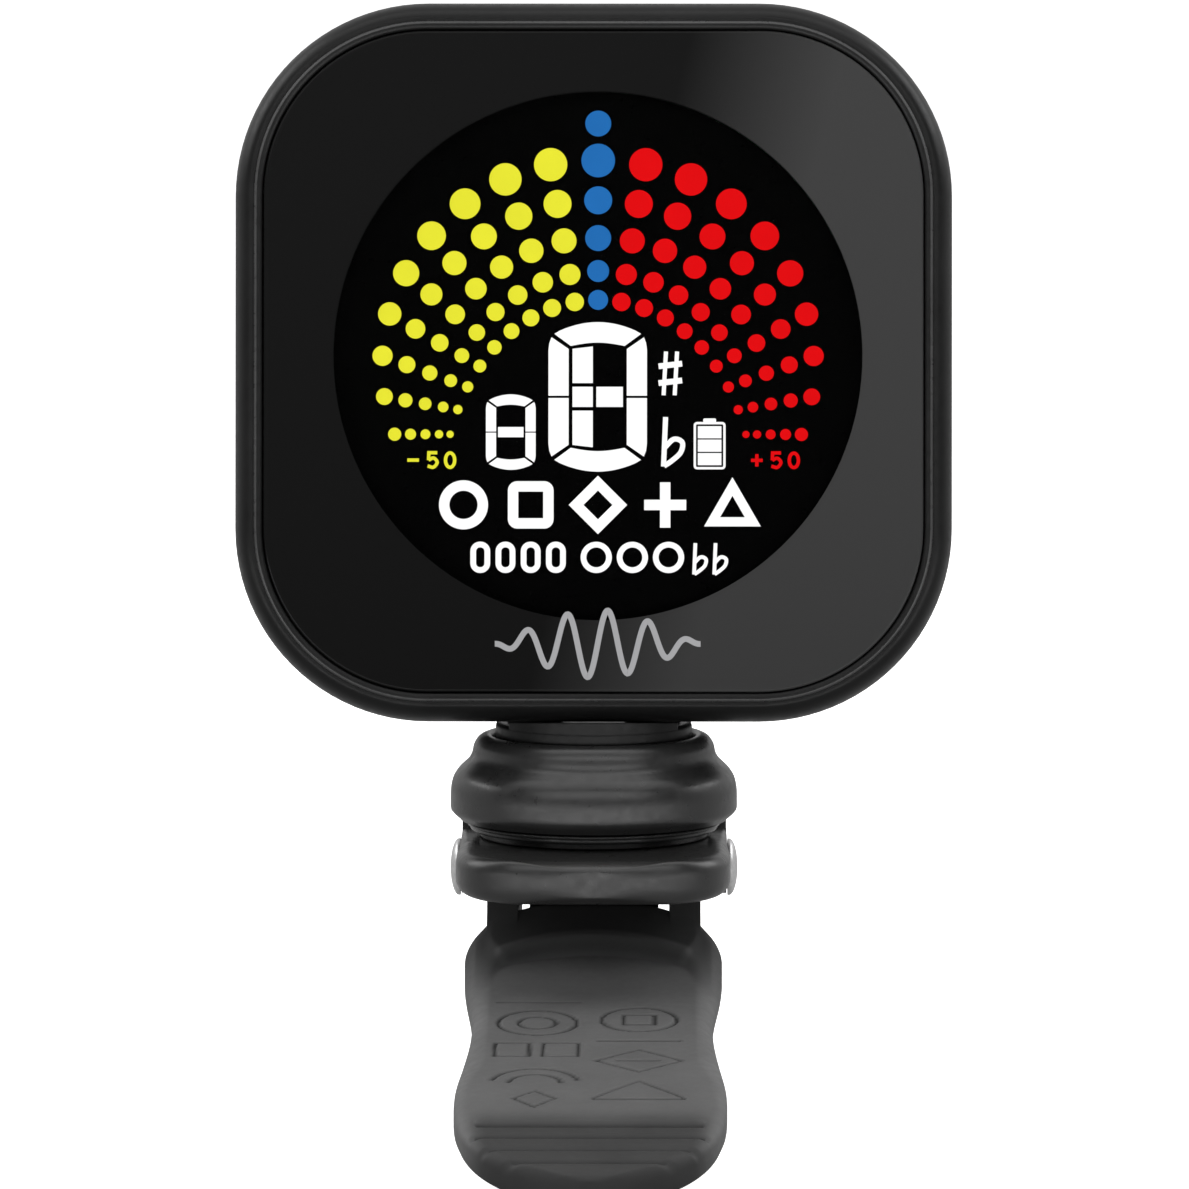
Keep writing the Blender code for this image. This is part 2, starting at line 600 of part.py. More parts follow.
def paddle_half_width(y):
    """Half the width of the finger paddle: a round rear end, a waist, and a round tip."""
    waist_y, waist, wide_y, wide = -13.2 * MM, 7.08 * MM, -26.9 * MM, 7.8 * MM
    rear_y = -3.6 * MM
    if y > rear_y:
        reach = min(1.0, (y - rear_y) / (1.0 * MM - rear_y))
        return PADDLE_R * math.sqrt(max(0.0, 1 - reach ** 2))
    if y > waist_y:
        share = (y - waist_y) / (rear_y - waist_y)
        return waist + (PADDLE_R - waist) * (1 - math.cos(math.pi * share)) / 2
    if y > wide_y:
        share = (y - waist_y) / (wide_y - waist_y)
        return waist + (wide - waist) * (1 - math.cos(math.pi * share)) / 2
    share = min(1.0, (y - wide_y) / (PADDLE_TIP_Y - wide_y))
    return wide * max(0.0, 1 - share ** 2.6) ** (1 / 2.2)


def paddle_top(y):
    """Height of the paddle's upper face along its middle line: a raised hub, a step down, then the pad."""
    line = in_mm([(1.0, -4.0), (-2.6, -5.6), (-3.2, -6.85), (-9.2, -8.35), (-18.0, -9.75), (-27.0, -11.2),
                  (-30.0, -11.95), (-34.0, -13.05), (-37.0, -14.0)])
    for (y0, z0), (y1, z1) in zip(line, line[1:]):
        if y >= y1:
            return z0 + (z1 - z0) * (y0 - y) / (y0 - y1)
    return line[-1][1]


def make_lower_lever():
    """The moving lever: a ribbed finger paddle, two cheeks on the pin, and a jaw behind."""
    stations = []
    places = [0.97, 0.8, 0.4, -0.4, -1.6, -2.6, -3.2, -4.6, -6.2, -8.4, -10.8, -13.2, -16.8, -20.4, -23.8,
              -26.9, -29.6, -32.0, -33.6, -35.0, -36.1, -36.75, -36.97]
    for place in places:
        y = place * MM
        thick = 2.5 * MM if place > -3 else 2.0 * MM
        top = paddle_top(y)
        ease = 0.35 * MM * max(0.0, 1 - (y - PADDLE_TIP_Y) / (1.2 * MM), 1 - (1.0 * MM - y) / (0.8 * MM))
        stations.append(section(max(paddle_half_width(y), 0.9 * MM), top - ease, top - thick, 0.8 * MM, y))
    lever = loft("lower_lever", stations, BLACK, LOWER_FRAME)

    # Finger grooves across the tip.
    for place in (-30.9, -32.3, -34.0, -35.5):
        y = place * MM
        top = paddle_top(y)
        half = min(6.7 * MM, paddle_half_width(y) - 1 * MM)
        cut_box(lever, (-half, y - 0.35 * MM, top - 0.3 * MM), (half, y + 0.35 * MM, top + 1 * MM))

    # The jaw arm between the cheeks, and the cheeks themselves.
    jaw = in_mm([(6.0, -3.5), (10.0, -3.6), (16.5, -4.9), (17.5, -5.3), (31.4, -5.3), (31.8, -5.7),
                 (31.4, -6.6), (30.6, -6.7), (18.5, -6.7)])
    arm = in_mm([(-2.0, -6.2), (-0.2, -4.7), (4.2, -4.45)]) + jaw
    arm += in_mm([(10.0, -5.4), (4.5, -5.6), (0.5, -7.2), (-2.0, -7.6)])
    add_outline(lever, arm, -3.9 * MM, 3.9 * MM, "YZ")
    add_outline(lever, jaw + in_mm([(10.0, -5.3), (6.2, -4.6)]), -CHEEK_OUT, CHEEK_OUT, "YZ")
    ring = arc((PIVOT_Y, PIVOT_Z), (CHEEK_R, CHEEK_R), 180, 30, 8)
    cheek = in_mm([(-5.0, -8.2), (-3.4, -6.3), (-0.6, -4.6)]) + ring
    cheek += in_mm([(6.5, -3.4), (10.0, -3.6), (16.5, -4.9), (16.5, -6.8), (10.0, -6.4), (4.0, -6.6),
                    (0.0, -8.2)])
    for side in (-1, 1):
        low, high = sorted((side * CHEEK_IN, side * CHEEK_OUT))
        add_outline(lever, cheek, low, high, "YZ")
    cut_rod(lever, PIN_R + 0.08 * MM, (-9 * MM, PIVOT_Y, PIVOT_Z), (9 * MM, PIVOT_Y, PIVOT_Z))
    return lever


def make_pads():
    """Rubber jaw pads: rounded plates with a flat gripping face."""
    outline = rounded_rectangle(PAD_HALF_W, PAD_HALF_L, 1.6 * MM, 5)
    outline = [(x, JAW_Y + y) for x, y in outline]
    upper_back = PAD_FACE_Z + PAD_T - 0.05 * MM
    extruded("upper_jaw_pad", outline, PAD_FACE_Z, upper_back, "XY", RUBBER, CLIP_FRAME)
    face = PAD_FACE_Z - PAD_GAP
    extruded("lower_jaw_pad", outline, face - PAD_T + 0.05 * MM, face, "XY", RUBBER, LOWER_FRAME)


def make_pivot_pin():
    """The pin through both levers, domed on the left, and the domed cap pressed on its right end."""
    head_r, head_t = 1.72 * MM, 0.62 * MM
    under = EAR_WALL_OUT + 0.06 * MM
    dome = [(0, head_t)] + arc((0, 0), (head_r, head_t), 75, 0, 5)
    shank_end = -2 * under + 0.4 * MM
    profile = dome + [(PIN_R, 0), (PIN_R, shank_end), (0, shank_end)]
    turned("pivot_pin", profile, PALE, CLIP_FRAME, 24, False, along((-1, 0, 0), (-under, PIVOT_Y, PIVOT_Z)))
    profile = dome + [(0, 0)]
    turned("pivot_pin_cap", profile, PALE, CLIP_FRAME, 24, False, along((1, 0, 0), (under, PIVOT_Y, PIVOT_Z)))


def make_torsion_spring():
    """A coil round the pin, with a leg under the deck and a leg on the lower lever."""
    wire_r, coil_r, half, upper_leg, lower_leg = 0.38 * MM, 1.47 * MM, 3.2 * MM, 3.0 * MM, 2.0 * MM
    start, end, step = 120, -90 - 5 * 360, 30
    count = (start - end) // step
    points = []
    for i in range(count + 1):
        angle = math.radians(start - step * i)
        x = -half + 2 * half * i / count
        points.append(Vector((x, PIVOT_Y + coil_r * math.cos(angle), PIVOT_Z + coil_r * math.sin(angle))))
    tangent = Vector((0, -math.sin(math.radians(start)), math.cos(math.radians(start))))
    points.insert(0, points[0] + tangent * upper_leg)
    points.append(points[-1] + Vector((0, -lower_leg, 0)))
    curve = bpy.data.curves.new("torsion_spring", "CURVE")
    curve.dimensions = "3D"
    curve.bevel_depth = wire_r
    curve.bevel_resolution = 1
    curve.use_fill_caps = True
    spline = curve.splines.new("POLY")
    spline.points.add(len(points) - 1)
    for point, place in zip(spline.points, points):
        point.co = (*place, 1)
    curve.materials.append(STEEL)
    spring = bpy.data.objects.new("torsion_spring", curve)
    PARTS.objects.link(spring)
    spring.parent = CLIP_FRAME


# ---------------------------------------------------------------- build

clear_scene()
PARTS = new_collection("clip_on_tuner")
CUTTERS = new_collection("cutters")
CUTTERS.hide_render = True

BLACK = new_material("satin_black_plastic", (0.018, 0.018, 0.019), 0.38)
GLOSS = new_material("gloss_black_plastic", (0.02, 0.02, 0.021), 0.18)
DARK = new_material("dark_grey_plastic", (0.035, 0.035, 0.037), 0.5)
LENS = new_material("smoked_lens", (0.035, 0.035, 0.036), 0.08)
DISPLAY = new_material("display_glass", (0.005, 0.005, 0.006), 0.12)
WHITE = new_material("white_diffuser", (0.85, 0.85, 0.83), 0.45)
RUBBER = new_material("black_rubber", (0.03, 0.03, 0.03), 0.85)
GREEN = new_material("green_circuit_board", (0.02, 0.16, 0.07), 0.4)
SILVER = new_material("cell_foil", (0.72, 0.72, 0.74), 0.35, 0.9)
BRASS = new_material("sensor_brass", (0.78, 0.6, 0.28), 0.3, 1.0)
STEEL = new_material("plated_steel", (0.6, 0.6, 0.62), 0.3, 1.0)
PALE = new_material("pale_plated_steel", (0.66, 0.66, 0.67), 0.35, 0.9)

CLIP_FRAME = new_empty("clip_frame", (0, -JAW_Y, -PAD_FACE_Z))
CLIP_PIVOT = new_empty("clip_pivot", (0, PIVOT_Y, PIVOT_Z), CLIP_FRAME)
LOWER_FRAME = new_empty("lower_frame", -CLIP_PIVOT.location, CLIP_PIVOT)
NECK_AXIS = new_empty("neck_axis", (0, 0, 0), CLIP_FRAME)
HEAD_AXIS = new_empty("head_axis", (0, TILT_Y, TILT_Z), NECK_AXIS, HEAD_LEAN)

make_front_bezel()
make_lens_stack()
make_electronics()
make_rear_cover()
make_buttons()
make_cover_screws()
make_swivel_turret()
make_tilt_fasteners()
make_swivel_socket()
make_swivel_base()
make_upper_lever()
make_lower_lever()
make_pads()
make_pivot_pin()
make_torsion_spring()
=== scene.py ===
"""The looks of the clip-on tuner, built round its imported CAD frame.

Shapes are drawn in millimetres in two local frames, and a matrix takes each to the metres of the row frame:
HEAD has its origin on the tilt axis, the display towards -Y, and leans back with the head.
DECK has the swivel axis at x = y = 0 and the top of the upper lever at z = 0.
"""

import json
import math

import bmesh
import bpy
from mathutils import Matrix, Vector


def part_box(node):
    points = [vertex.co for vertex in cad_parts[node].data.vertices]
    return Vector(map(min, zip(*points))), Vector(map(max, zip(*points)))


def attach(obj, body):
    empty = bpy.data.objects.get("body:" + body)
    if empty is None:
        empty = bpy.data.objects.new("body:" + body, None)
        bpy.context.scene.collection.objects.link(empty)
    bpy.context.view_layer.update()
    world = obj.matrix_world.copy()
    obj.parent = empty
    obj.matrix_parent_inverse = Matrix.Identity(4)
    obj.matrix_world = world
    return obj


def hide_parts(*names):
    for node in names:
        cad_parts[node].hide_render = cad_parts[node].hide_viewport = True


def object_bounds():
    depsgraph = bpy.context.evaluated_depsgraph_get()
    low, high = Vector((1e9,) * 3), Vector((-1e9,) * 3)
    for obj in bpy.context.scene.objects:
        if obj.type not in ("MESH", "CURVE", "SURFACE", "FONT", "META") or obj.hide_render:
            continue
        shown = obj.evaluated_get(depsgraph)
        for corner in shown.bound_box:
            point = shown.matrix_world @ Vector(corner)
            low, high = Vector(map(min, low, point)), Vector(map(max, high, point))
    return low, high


MM = 0.001

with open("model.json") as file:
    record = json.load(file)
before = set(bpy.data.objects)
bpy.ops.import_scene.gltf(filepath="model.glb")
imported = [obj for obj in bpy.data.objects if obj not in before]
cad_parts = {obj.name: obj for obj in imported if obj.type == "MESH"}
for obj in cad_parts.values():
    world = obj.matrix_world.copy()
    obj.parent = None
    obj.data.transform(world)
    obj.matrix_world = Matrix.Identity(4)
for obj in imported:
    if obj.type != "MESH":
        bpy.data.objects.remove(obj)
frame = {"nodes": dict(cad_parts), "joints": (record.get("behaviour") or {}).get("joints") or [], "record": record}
cad_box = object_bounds()
CAD_LOW = cad_box[0][2]

joints = {joint["name"]: joint for joint in frame["joints"]}
swivel = Vector(joints["neck_swivel"]["pos_m"])
tilt = Vector(joints["head_tilt"]["pos_m"])
pivot = Vector(joints["clip_open"]["pos_m"])
button_press = Vector(joints["power_press"]["axis"])
lean = math.atan2(button_press.z, -button_press.y)
deck_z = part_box("swivel_base")[0].z - 0.1 * MM

DECK = Matrix.Translation((0, swivel.y, deck_z)) @ Matrix.Scale(MM, 4)
HEAD = Matrix.Translation(tilt) @ Matrix.Rotation(-lean, 4, "X") @ Matrix.Scale(MM, 4)

# Head, millimetres in the HEAD frame.
HEAD_W = (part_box("front_bezel")[1].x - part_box("front_bezel")[0].x) / MM
HEAD_H = HEAD_W + 0.1
HEAD_R = 11.5
HEAD_BOTTOM = -4.6
HEAD_MID = HEAD_BOTTOM + HEAD_H / 2
HEAD_FRONT, HEAD_BACK, PARTING = -8.5, 3.1, 0.3
LIP = 1.7
LENS_EDGE = LIP + 0.07
LENS_FRONT, LENS_BACK = -8.42, -7.42
WINDOW_R = 15.7
DISPLAY_X, DISPLAY_Z = 0.27, HEAD_MID + 0.33
PANEL_FRONT = -6.85
POCKET_HALF, POCKET_TOP, POCKET_FRONT = 6.4, 3.4, -3.3
BOSS_AT = 15.85
BUTTONS = (("power", 0.0, 3.0), ("mode", -9.5, 2.3), ("pitch", 9.5, 2.3))
BUTTON_Z = HEAD_MID + 12.4
PORT_Y = -1.75

# Clip, millimetres in the DECK frame.
PIVOT_Y = (pivot.y - swivel.y) / MM
PIVOT_Z = (pivot.z - deck_z) / MM
TILT_Y = (tilt.y - swivel.y) / MM
TILT_Z = (tilt.z - deck_z) / MM
NOSE_Y, NOSE_HALF, NOSE_UNDER = -12.0, 8.18, -2.6
EAR_WALL_IN, EAR_WALL_OUT, EAR_WALL_R = 6.75, 8.0, 1.6
CHEEK_IN, CHEEK_OUT, CHEEK_R = 4.57, 6.43, 1.85
PADDLE_R, PADDLE_TIP_Y = 7.7, -37.0
CREASE_X = 6.1
JAW_Y = -swivel.y / MM
STEM_R, STEM_TOP = 5.9, 7.0
TILT_HOLE_R, PIN_HOLE_R = 0.95, 0.95
BASE_SCREWS = ((-3.1, -3.1), (3.1, -3.1))

ROUND_STEPS = 96
CORNER_STEPS = 24


# ---- materials

def fill(node, **values):
    for name, value in values.items():
        node.inputs[name.replace("_", " ")].default_value = value
    return node


class Surface:
    """A Principled material with its texture coordinates in millimetres."""

    def __init__(self, name):
        self.material = bpy.data.materials.new(name)
        self.material.use_nodes = True
        self.nodes = self.material.node_tree.nodes
        self.links = self.material.node_tree.links
        self.shader = self.nodes["Principled BSDF"]
        scale = self.node("Mapping", Scale=(1 / MM, 1 / MM, 1 / MM))
        self.links.new(self.node("TexCoord").outputs["Object"], scale.inputs["Vector"])
        self.mm = scale.outputs["Vector"]

    def node(self, kind, **values):
        """A new shader node, its inputs named with underscores for spaces."""
        return fill(self.nodes.new(f"ShaderNode{kind}"), **values)

    def set(self, **values):
        fill(self.shader, **values)
        return self

    def noise(self, grain, detail=3.0, stretch=None):
        """Fractal noise whose features are about grain millimetres across."""
        made = self.node("TexNoise", Scale=1 / grain, Detail=detail)
        vector = self.mm
        if stretch:
            squeeze = self.node("Mapping", Scale=stretch)
            self.links.new(vector, squeeze.inputs["Vector"])
            vector = squeeze.outputs["Vector"]
        self.links.new(vector, made.inputs["Vector"])
        return made.outputs["Fac"]

    def ramp(self, value, low, high, start=0.3, end=0.7):
        """Colours or greys between two stops of a 0 to 1 value."""
        made = self.node("ValToRGB")
        for element, place, colour in zip(made.color_ramp.elements, (start, end), (low, high)):
            element.position = place
            element.color = (*colour, 1) if isinstance(colour, tuple) else (colour, colour, colour, 1)
        self.links.new(value, made.inputs["Fac"])
        return made.outputs["Color"]

    def drive(self, name, value):
        self.links.new(value, self.shader.inputs[name])
        return self

    def relief(self, value, height, edge=0.0):
        """Bump of a height in millimetres, over edges rounded to a radius in millimetres."""
        bump = self.node("Bump", Distance=height * MM)
        self.links.new(value, bump.inputs["Height"])
        if edge:
            rounded = self.node("Bevel", Radius=edge * MM)
            rounded.samples = 4
            self.links.new(rounded.outputs["Normal"], bump.inputs["Normal"])
        return self.drive("Normal", bump.outputs["Normal"])


def moulded(name, dark, light, rough, spread=0.05, grain=0.16, height=0.004, edge=0.12, **values):
    """Moulded plastic: faint colour patches, and a fine grain in its roughness and relief."""
    made = Surface(name).set(**values)
    made.drive("Base Color", made.ramp(made.noise(4.0), dark, light))
    made.drive("Roughness", made.ramp(made.noise(grain * 3), rough - spread, rough + spread))
    made.relief(made.noise(grain, 4.0), height, edge)
    return made.material


def metal(name, dark, light, rough, stretch, edge=0.06):
    """Plated metal with fine lines along one direction."""
    made = Surface(name).set(Metallic=1.0)
    lines = made.noise(0.25, 3.0, stretch)
    made.drive("Base Color", made.ramp(lines, dark, light))
    made.drive("Roughness", made.ramp(made.noise(0.8), rough - 0.08, rough + 0.08))
    made.relief(lines, 0.004, edge)
    return made.material


def paddle_plastic():
    """The paddle's greyer plastic, dark and dull where its mesh attribute of painted shade is high."""
    made = Surface("paddle_black_plastic")
    painted_shade = made.node("Attribute")
    painted_shade.attribute_name = "painted_shade"
    shares = []
    # Painted shade: where the attribute is full, the base colour falls to 0.3 of itself and the specular level
    # from 0.3 to 0.08.
    for full, deep in ((1.0, 0.3), (0.3, 0.08)):
        share = made.node("MapRange", To_Min=full, To_Max=deep)
        made.links.new(painted_shade.outputs["Fac"], share.inputs["Value"])
        shares.append(share.outputs["Result"])
    colour = made.node("Math")
    colour.operation = "MULTIPLY"
    made.links.new(made.ramp(made.noise(4.0), 0.092, 0.108), colour.inputs[0])
    made.links.new(shares[0], colour.inputs[1])
    made.drive("Base Color", colour.outputs["Value"]).drive("Specular IOR Level", shares[1])
    made.drive("Roughness", made.ramp(made.noise(0.6), 0.47, 0.57))
    made.relief(made.noise(0.2, 4.0), 0.005, 0.12)
    return made.material


def lens_surround():
    """Print behind the glass, dark, under a painted reflection: near black at the upper left and dark grey at the
    lower right.
    """
    made = Surface("lens_surround").set(Roughness=0.12, Specular_IOR_Level=0.08)
    split = made.node("SeparateXYZ")
    made.links.new(made.mm, split.inputs["Vector"])
    slant = made.node("Math")
    slant.operation = "MULTIPLY_ADD"
    slant.inputs[1].default_value = -0.25
    made.links.new(split.outputs["Z"], slant.inputs[0])
    made.links.new(split.outputs["X"], slant.inputs[2])
    reach = made.node("MapRange", From_Min=-0.45 * HEAD_W, From_Max=0.35 * HEAD_W)
    reach.interpolation_type = "SMOOTHSTEP"
    made.links.new(slant.outputs["Value"], reach.inputs["Value"])
    # Painted reflection: the base colour lightens from the upper left to the lower right.
    made.drive("Base Color", made.ramp(reach.outputs["Result"], 0.006, 0.034))
    made.relief(made.noise(6.0), 0.002)
    return made.material


def lens_window():
    """Clear glass with a faint grey tint."""
    made = Surface("lens_window")
    made.set(Base_Color=(0.001, 0.001, 0.001, 1), Alpha=0.14, Specular_IOR_Level=0.05)
    made.drive("Roughness", made.ramp(made.noise(5.0), 0.03, 0.07))
    made.relief(made.noise(7.0), 0.001)
    return made.material


def lit(name, colour, strength=1.0):
    """Glowing ink with the faint unevenness of a backlight: the display's inks are lit from behind, and on the
    silver print the glow is a painted sheen.
    """
    made = Surface(name)
    made.set(Base_Color=(*(0.1 * c for c in colour), 1), Roughness=0.5, Specular_IOR_Level=0.0)
    dim = tuple(0.94 * c for c in colour)
    made.drive("Emission Color", made.ramp(made.noise(3.0), dim, colour))
    made.set(Emission_Strength=strength)
    return made.material


def circuit_board_green():
    """Green board with a pattern of paler traces."""
    made = Surface("circuit_board_green").set(Roughness=0.4)
    traces = made.node("TexBrick", Scale=0.8, Mortar_Size=0.03, Color1=(0.012, 0.11, 0.045, 1),
                       Color2=(0.016, 0.13, 0.055, 1), Mortar=(0.05, 0.26, 0.1, 1))
    made.links.new(made.mm, traces.inputs["Vector"])
    made.drive("Base Color", traces.outputs["Color"])
    made.relief(traces.outputs["Fac"], 0.02)
    return made.material


BLACK = moulded("satin_black_plastic", 0.004, 0.006, 0.36, Specular_IOR_Level=0.16)
# Painted highlight: a lighter black for the fine bead round the lens.
BEAD_PAINTED_HIGHLIGHT = moulded("bead_painted_highlight", 0.03, 0.042, 0.3, Specular_IOR_Level=0.3)
CLIP_BLACK = moulded("clip_black_plastic", 0.012, 0.018, 0.32, grain=0.2, height=0.005)
PADDLE_BLACK = paddle_plastic()
GLOSS = moulded("gloss_black_plastic", 0.012, 0.016, 0.16, spread=0.03, height=0.001)
DARK = moulded("dark_grey_plastic", 0.03, 0.042, 0.5, height=0.008)
RUBBER = moulded("black_rubber", 0.022, 0.034, 0.78, grain=0.12, height=0.014, edge=0.2)
DIFFUSER = moulded("white_diffuser", 0.78, 0.86, 0.45, height=0.01)
PANEL = moulded("display_glass", 0.0004, 0.0007, 0.3, spread=0.03, height=0.0005, edge=0,
                Specular_IOR_Level=0.02)
FOIL = metal("cell_foil", 0.58, 0.76, 0.38, (0.3, 1, 3))
BRASS = metal("sensor_brass", (0.7, 0.5, 0.2), (0.83, 0.64, 0.3), 0.3, (1, 1, 1))
STEEL = metal("plated_steel", 0.5, 0.66, 0.28, (0.2, 3, 3))
SPRING_STEEL = metal("dark_spring_steel", 0.06, 0.1, 0.4, (1, 1, 1))
PALE_STEEL = metal("pale_plated_steel", 0.6, 0.74, 0.4, (1, 1, 1))
SURROUND = lens_surround()
WINDOW = lens_window()
BOARD = circuit_board_green()
YELLOW = lit("display_yellow", (0.87, 0.85, 0.04), 1.2)
RED = lit("display_red", (0.83, 0.005, 0.007), 1.18)
BLUE = lit("display_blue", (0.02, 0.165, 0.5), 1.18)
WHITE = lit("display_white", (1.0, 1.0, 1.0), 1.35)
# The silver print is no lamp: its glow is a painted sheen.
PRINT_PAINTED_SHEEN = lit("silver_print_painted_sheen", (0.72, 0.72, 0.74), 0.42)

SLOT_LOOKS = {
    "satin_black": BLACK, "gloss_black": GLOSS, "dark_grey": DARK, "smoked_lens": SURROUND, "display": PANEL,
    "white_diffuser": DIFFUSER, "rubber": RUBBER, "circuit_board": BOARD, "cell_foil": FOIL, "brass": BRASS,
    "plated_steel": STEEL, "pale_steel": PALE_STEEL,
}


# ---- shapes

def arc(centre, radii, start, end, steps):
    """Points of an elliptical arc, angles in degrees."""
    angles = (math.radians(start + (end - start) * i / steps) for i in range(steps + 1))
    return [(centre[0] + radii[0] * math.cos(a), centre[1] + radii[1] * math.sin(a)) for a in angles]


def circle(centre, radius, steps=48):
    return arc(centre, (radius, radius), 0, 360, steps)[:-1]


def rounded_rectangle(half_w, half_h, radius, steps=CORNER_STEPS, sides=1):
    """Outline round the origin, anticlockwise, with each straight side cut into equal parts."""
    found = []
    for quarter, (sx, sy) in enumerate(((1, 1), (-1, 1), (-1, -1), (1, -1))):
        centre = (sx * (half_w - radius), sy * (half_h - radius))
        found += arc(centre, (radius, radius), 90 * quarter, 90 * quarter + 90, steps)
        ahead = ((-sx * (half_w - radius), sy * half_h), (sx * half_w, -sy * (half_h - radius)))[quarter % 2]
        start = found[-1]
        found += [tuple(a + (b - a) * i / sides for a, b in zip(start, ahead)) for i in range(1, sides)]
    return found


def smooth_line(points, per_span=4):
    """A Catmull-Rom curve through points of any dimension."""
    points = [Vector(point) for point in points]
    padded = [2 * points[0] - points[1], *points, 2 * points[-1] - points[-2]]
    found = []
    for a, b, c, d in zip(padded, padded[1:], padded[2:], padded[3:]):
        for i in range(per_span):
            t = i / per_span
            found.append(0.5 * (2 * b + (c - a) * t + (2 * a - 5 * b + 4 * c - d) * t**2
                                + (3 * b - a - 3 * c + d) * t**3))
    return [tuple(point) for point in found + [points[-1]]]


def between(value, start, end):
    """0 before start and 1 after end, with a smooth turn."""
    share = min(1.0, max(0.0, (value - start) / (end - start)))
    return share * share * (3 - 2 * share)


def skin(rings, closed=False, bm=None):
    """Faces over rings of equal point counts: closed into a loop, or else capped at both ends."""
    bm = bm or bmesh.new()
    loops = [[bm.verts.new(point) for point in ring] for ring in rings]
    pairs = list(zip(loops, loops[1:]))
    if closed:
        pairs.append((loops[-1], loops[0]))
    else:
        bm.faces.new(loops[0])
        bm.faces.new(loops[-1])
    for first, second in pairs:
        for corners in zip(first, first[1:] + first[:1], second[1:] + second[:1], second):
            bm.faces.new(corners)
    return bm


PLANES = {
    "XY": lambda a, b, c: (a, b, c),
    "XZ": lambda a, b, c: (a, c, b),
    "YZ": lambda a, b, c: (c, a, b),
}


def prism(outline, low, high, plane, bm=None):
    """A flat outline given thickness along the axis its plane leaves out."""
    return skin([[PLANES[plane](a, b, c) for a, b in outline] for c in (low, high)], bm=bm)


def block(low, high):
    (x0, y0, z0), (x1, y1, z1) = low, high
    return prism([(x0, y0), (x1, y0), (x1, y1), (x0, y1)], z0, z1, "XY")


def along(axis, start):
    """The matrix that puts a turned shape's Z on an axis, with its z = 0 at start."""
    turn = Vector((0, 0, 1)).rotation_difference(Vector(axis))
    return Matrix.Translation(start) @ turn.to_matrix().to_4x4()


def lathe(profile, steps=ROUND_STEPS, closed=False, place=None):
    """A profile of (radius, z) points turned about Z. An open profile starts and ends on the axis."""
    bm = bmesh.new()
    points = [bm.verts.new((radius, 0, z)) for radius, z in profile]
    line = points + points[:1] if closed else points
    edges = [bm.edges.new(pair) for pair in zip(line, line[1:])]
    bmesh.ops.spin(bm, geom=points + edges, axis=(0, 0, 1), cent=(0, 0, 0), angle=math.tau, steps=steps,
                   use_merge=True)
    bmesh.ops.remove_doubles(bm, verts=bm.verts, dist=1e-5)
    if place:
        bm.transform(place)
    return bm


def rod(radius, start, end, steps=32):
    span = Vector(end) - Vector(start)
    return lathe([(0, 0), (radius, 0), (radius, span.length), (0, span.length)], steps,
                 place=along(span.normalized(), start))


def combined(operation, bm, *tools):
    """The exact Boolean of a shape with each tool in turn. The shapes given are used up."""
    working = []
    for shape in (bm, *tools):
        bmesh.ops.recalc_face_normals(shape, faces=shape.faces)
        mesh = bpy.data.meshes.new("working_shape")
        shape.to_mesh(mesh)
        shape.free()
        working.append(bpy.data.objects.new("working_shape", mesh))
        bpy.context.scene.collection.objects.link(working[-1])
    for tool in working[1:]:
        modifier = working[0].modifiers.new("combine", "BOOLEAN")
        modifier.operation = operation
        modifier.solver = "EXACT"
        modifier.object = tool
    bpy.context.view_layer.update()
    made = bmesh.new()
    made.from_object(working[0], bpy.context.evaluated_depsgraph_get())
    for obj in working:
        bpy.data.objects.remove(obj, do_unlink=True)
    return made


def piece(name, bm, place, body, materials, stands_for=(), sharp=35.0):
    """A named piece drawn in a local frame, shaded smooth between its sharp edges, riding on a body."""
    bmesh.ops.recalc_face_normals(bm, faces=bm.faces)
    bm.transform(place)
    mesh = bpy.data.meshes.new(name)
    bm.to_mesh(mesh)
    bm.free()
    for material in materials:
        mesh.materials.append(material)
    mesh.shade_smooth()
    mesh.set_sharp_from_angle(angle=math.radians(sharp))
    made = bpy.data.objects.new(name, mesh)
    bpy.context.scene.collection.objects.link(made)
    even = made.modifiers.new("even shading", "WEIGHTED_NORMAL")
    even.keep_sharp = True
    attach(made, body)
    if stands_for:
        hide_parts(*stands_for)


# ---- head

def head_ring(inset, y):
    """The head's outline drawn in by an inset, at a depth y."""
    outline = rounded_rectangle(HEAD_W / 2 - inset, HEAD_H / 2 - inset, HEAD_R - inset)
    return [(x, y, HEAD_MID + z) for x, z in outline]


def boss_places():
    return [(sx * BOSS_AT, HEAD_MID + sz * BOSS_AT) for sx in (-1, 1) for sz in (-1, 1)]


def port_outline(clearance):
    shape = rounded_rectangle(1.6 + clearance, 4.5 + clearance, 1.4 + clearance, 10)
    return [(PORT_Y + y, HEAD_MID + z) for y, z in shape]


def inset_at(x, z):
    """Distance inside the head's outline."""
    across, up = abs(x) - HEAD_W / 2 + HEAD_R, abs(z - HEAD_MID) - HEAD_H / 2 + HEAD_R
    return HEAD_R - math.hypot(max(across, 0), max(up, 0)) - min(0, max(across, up))


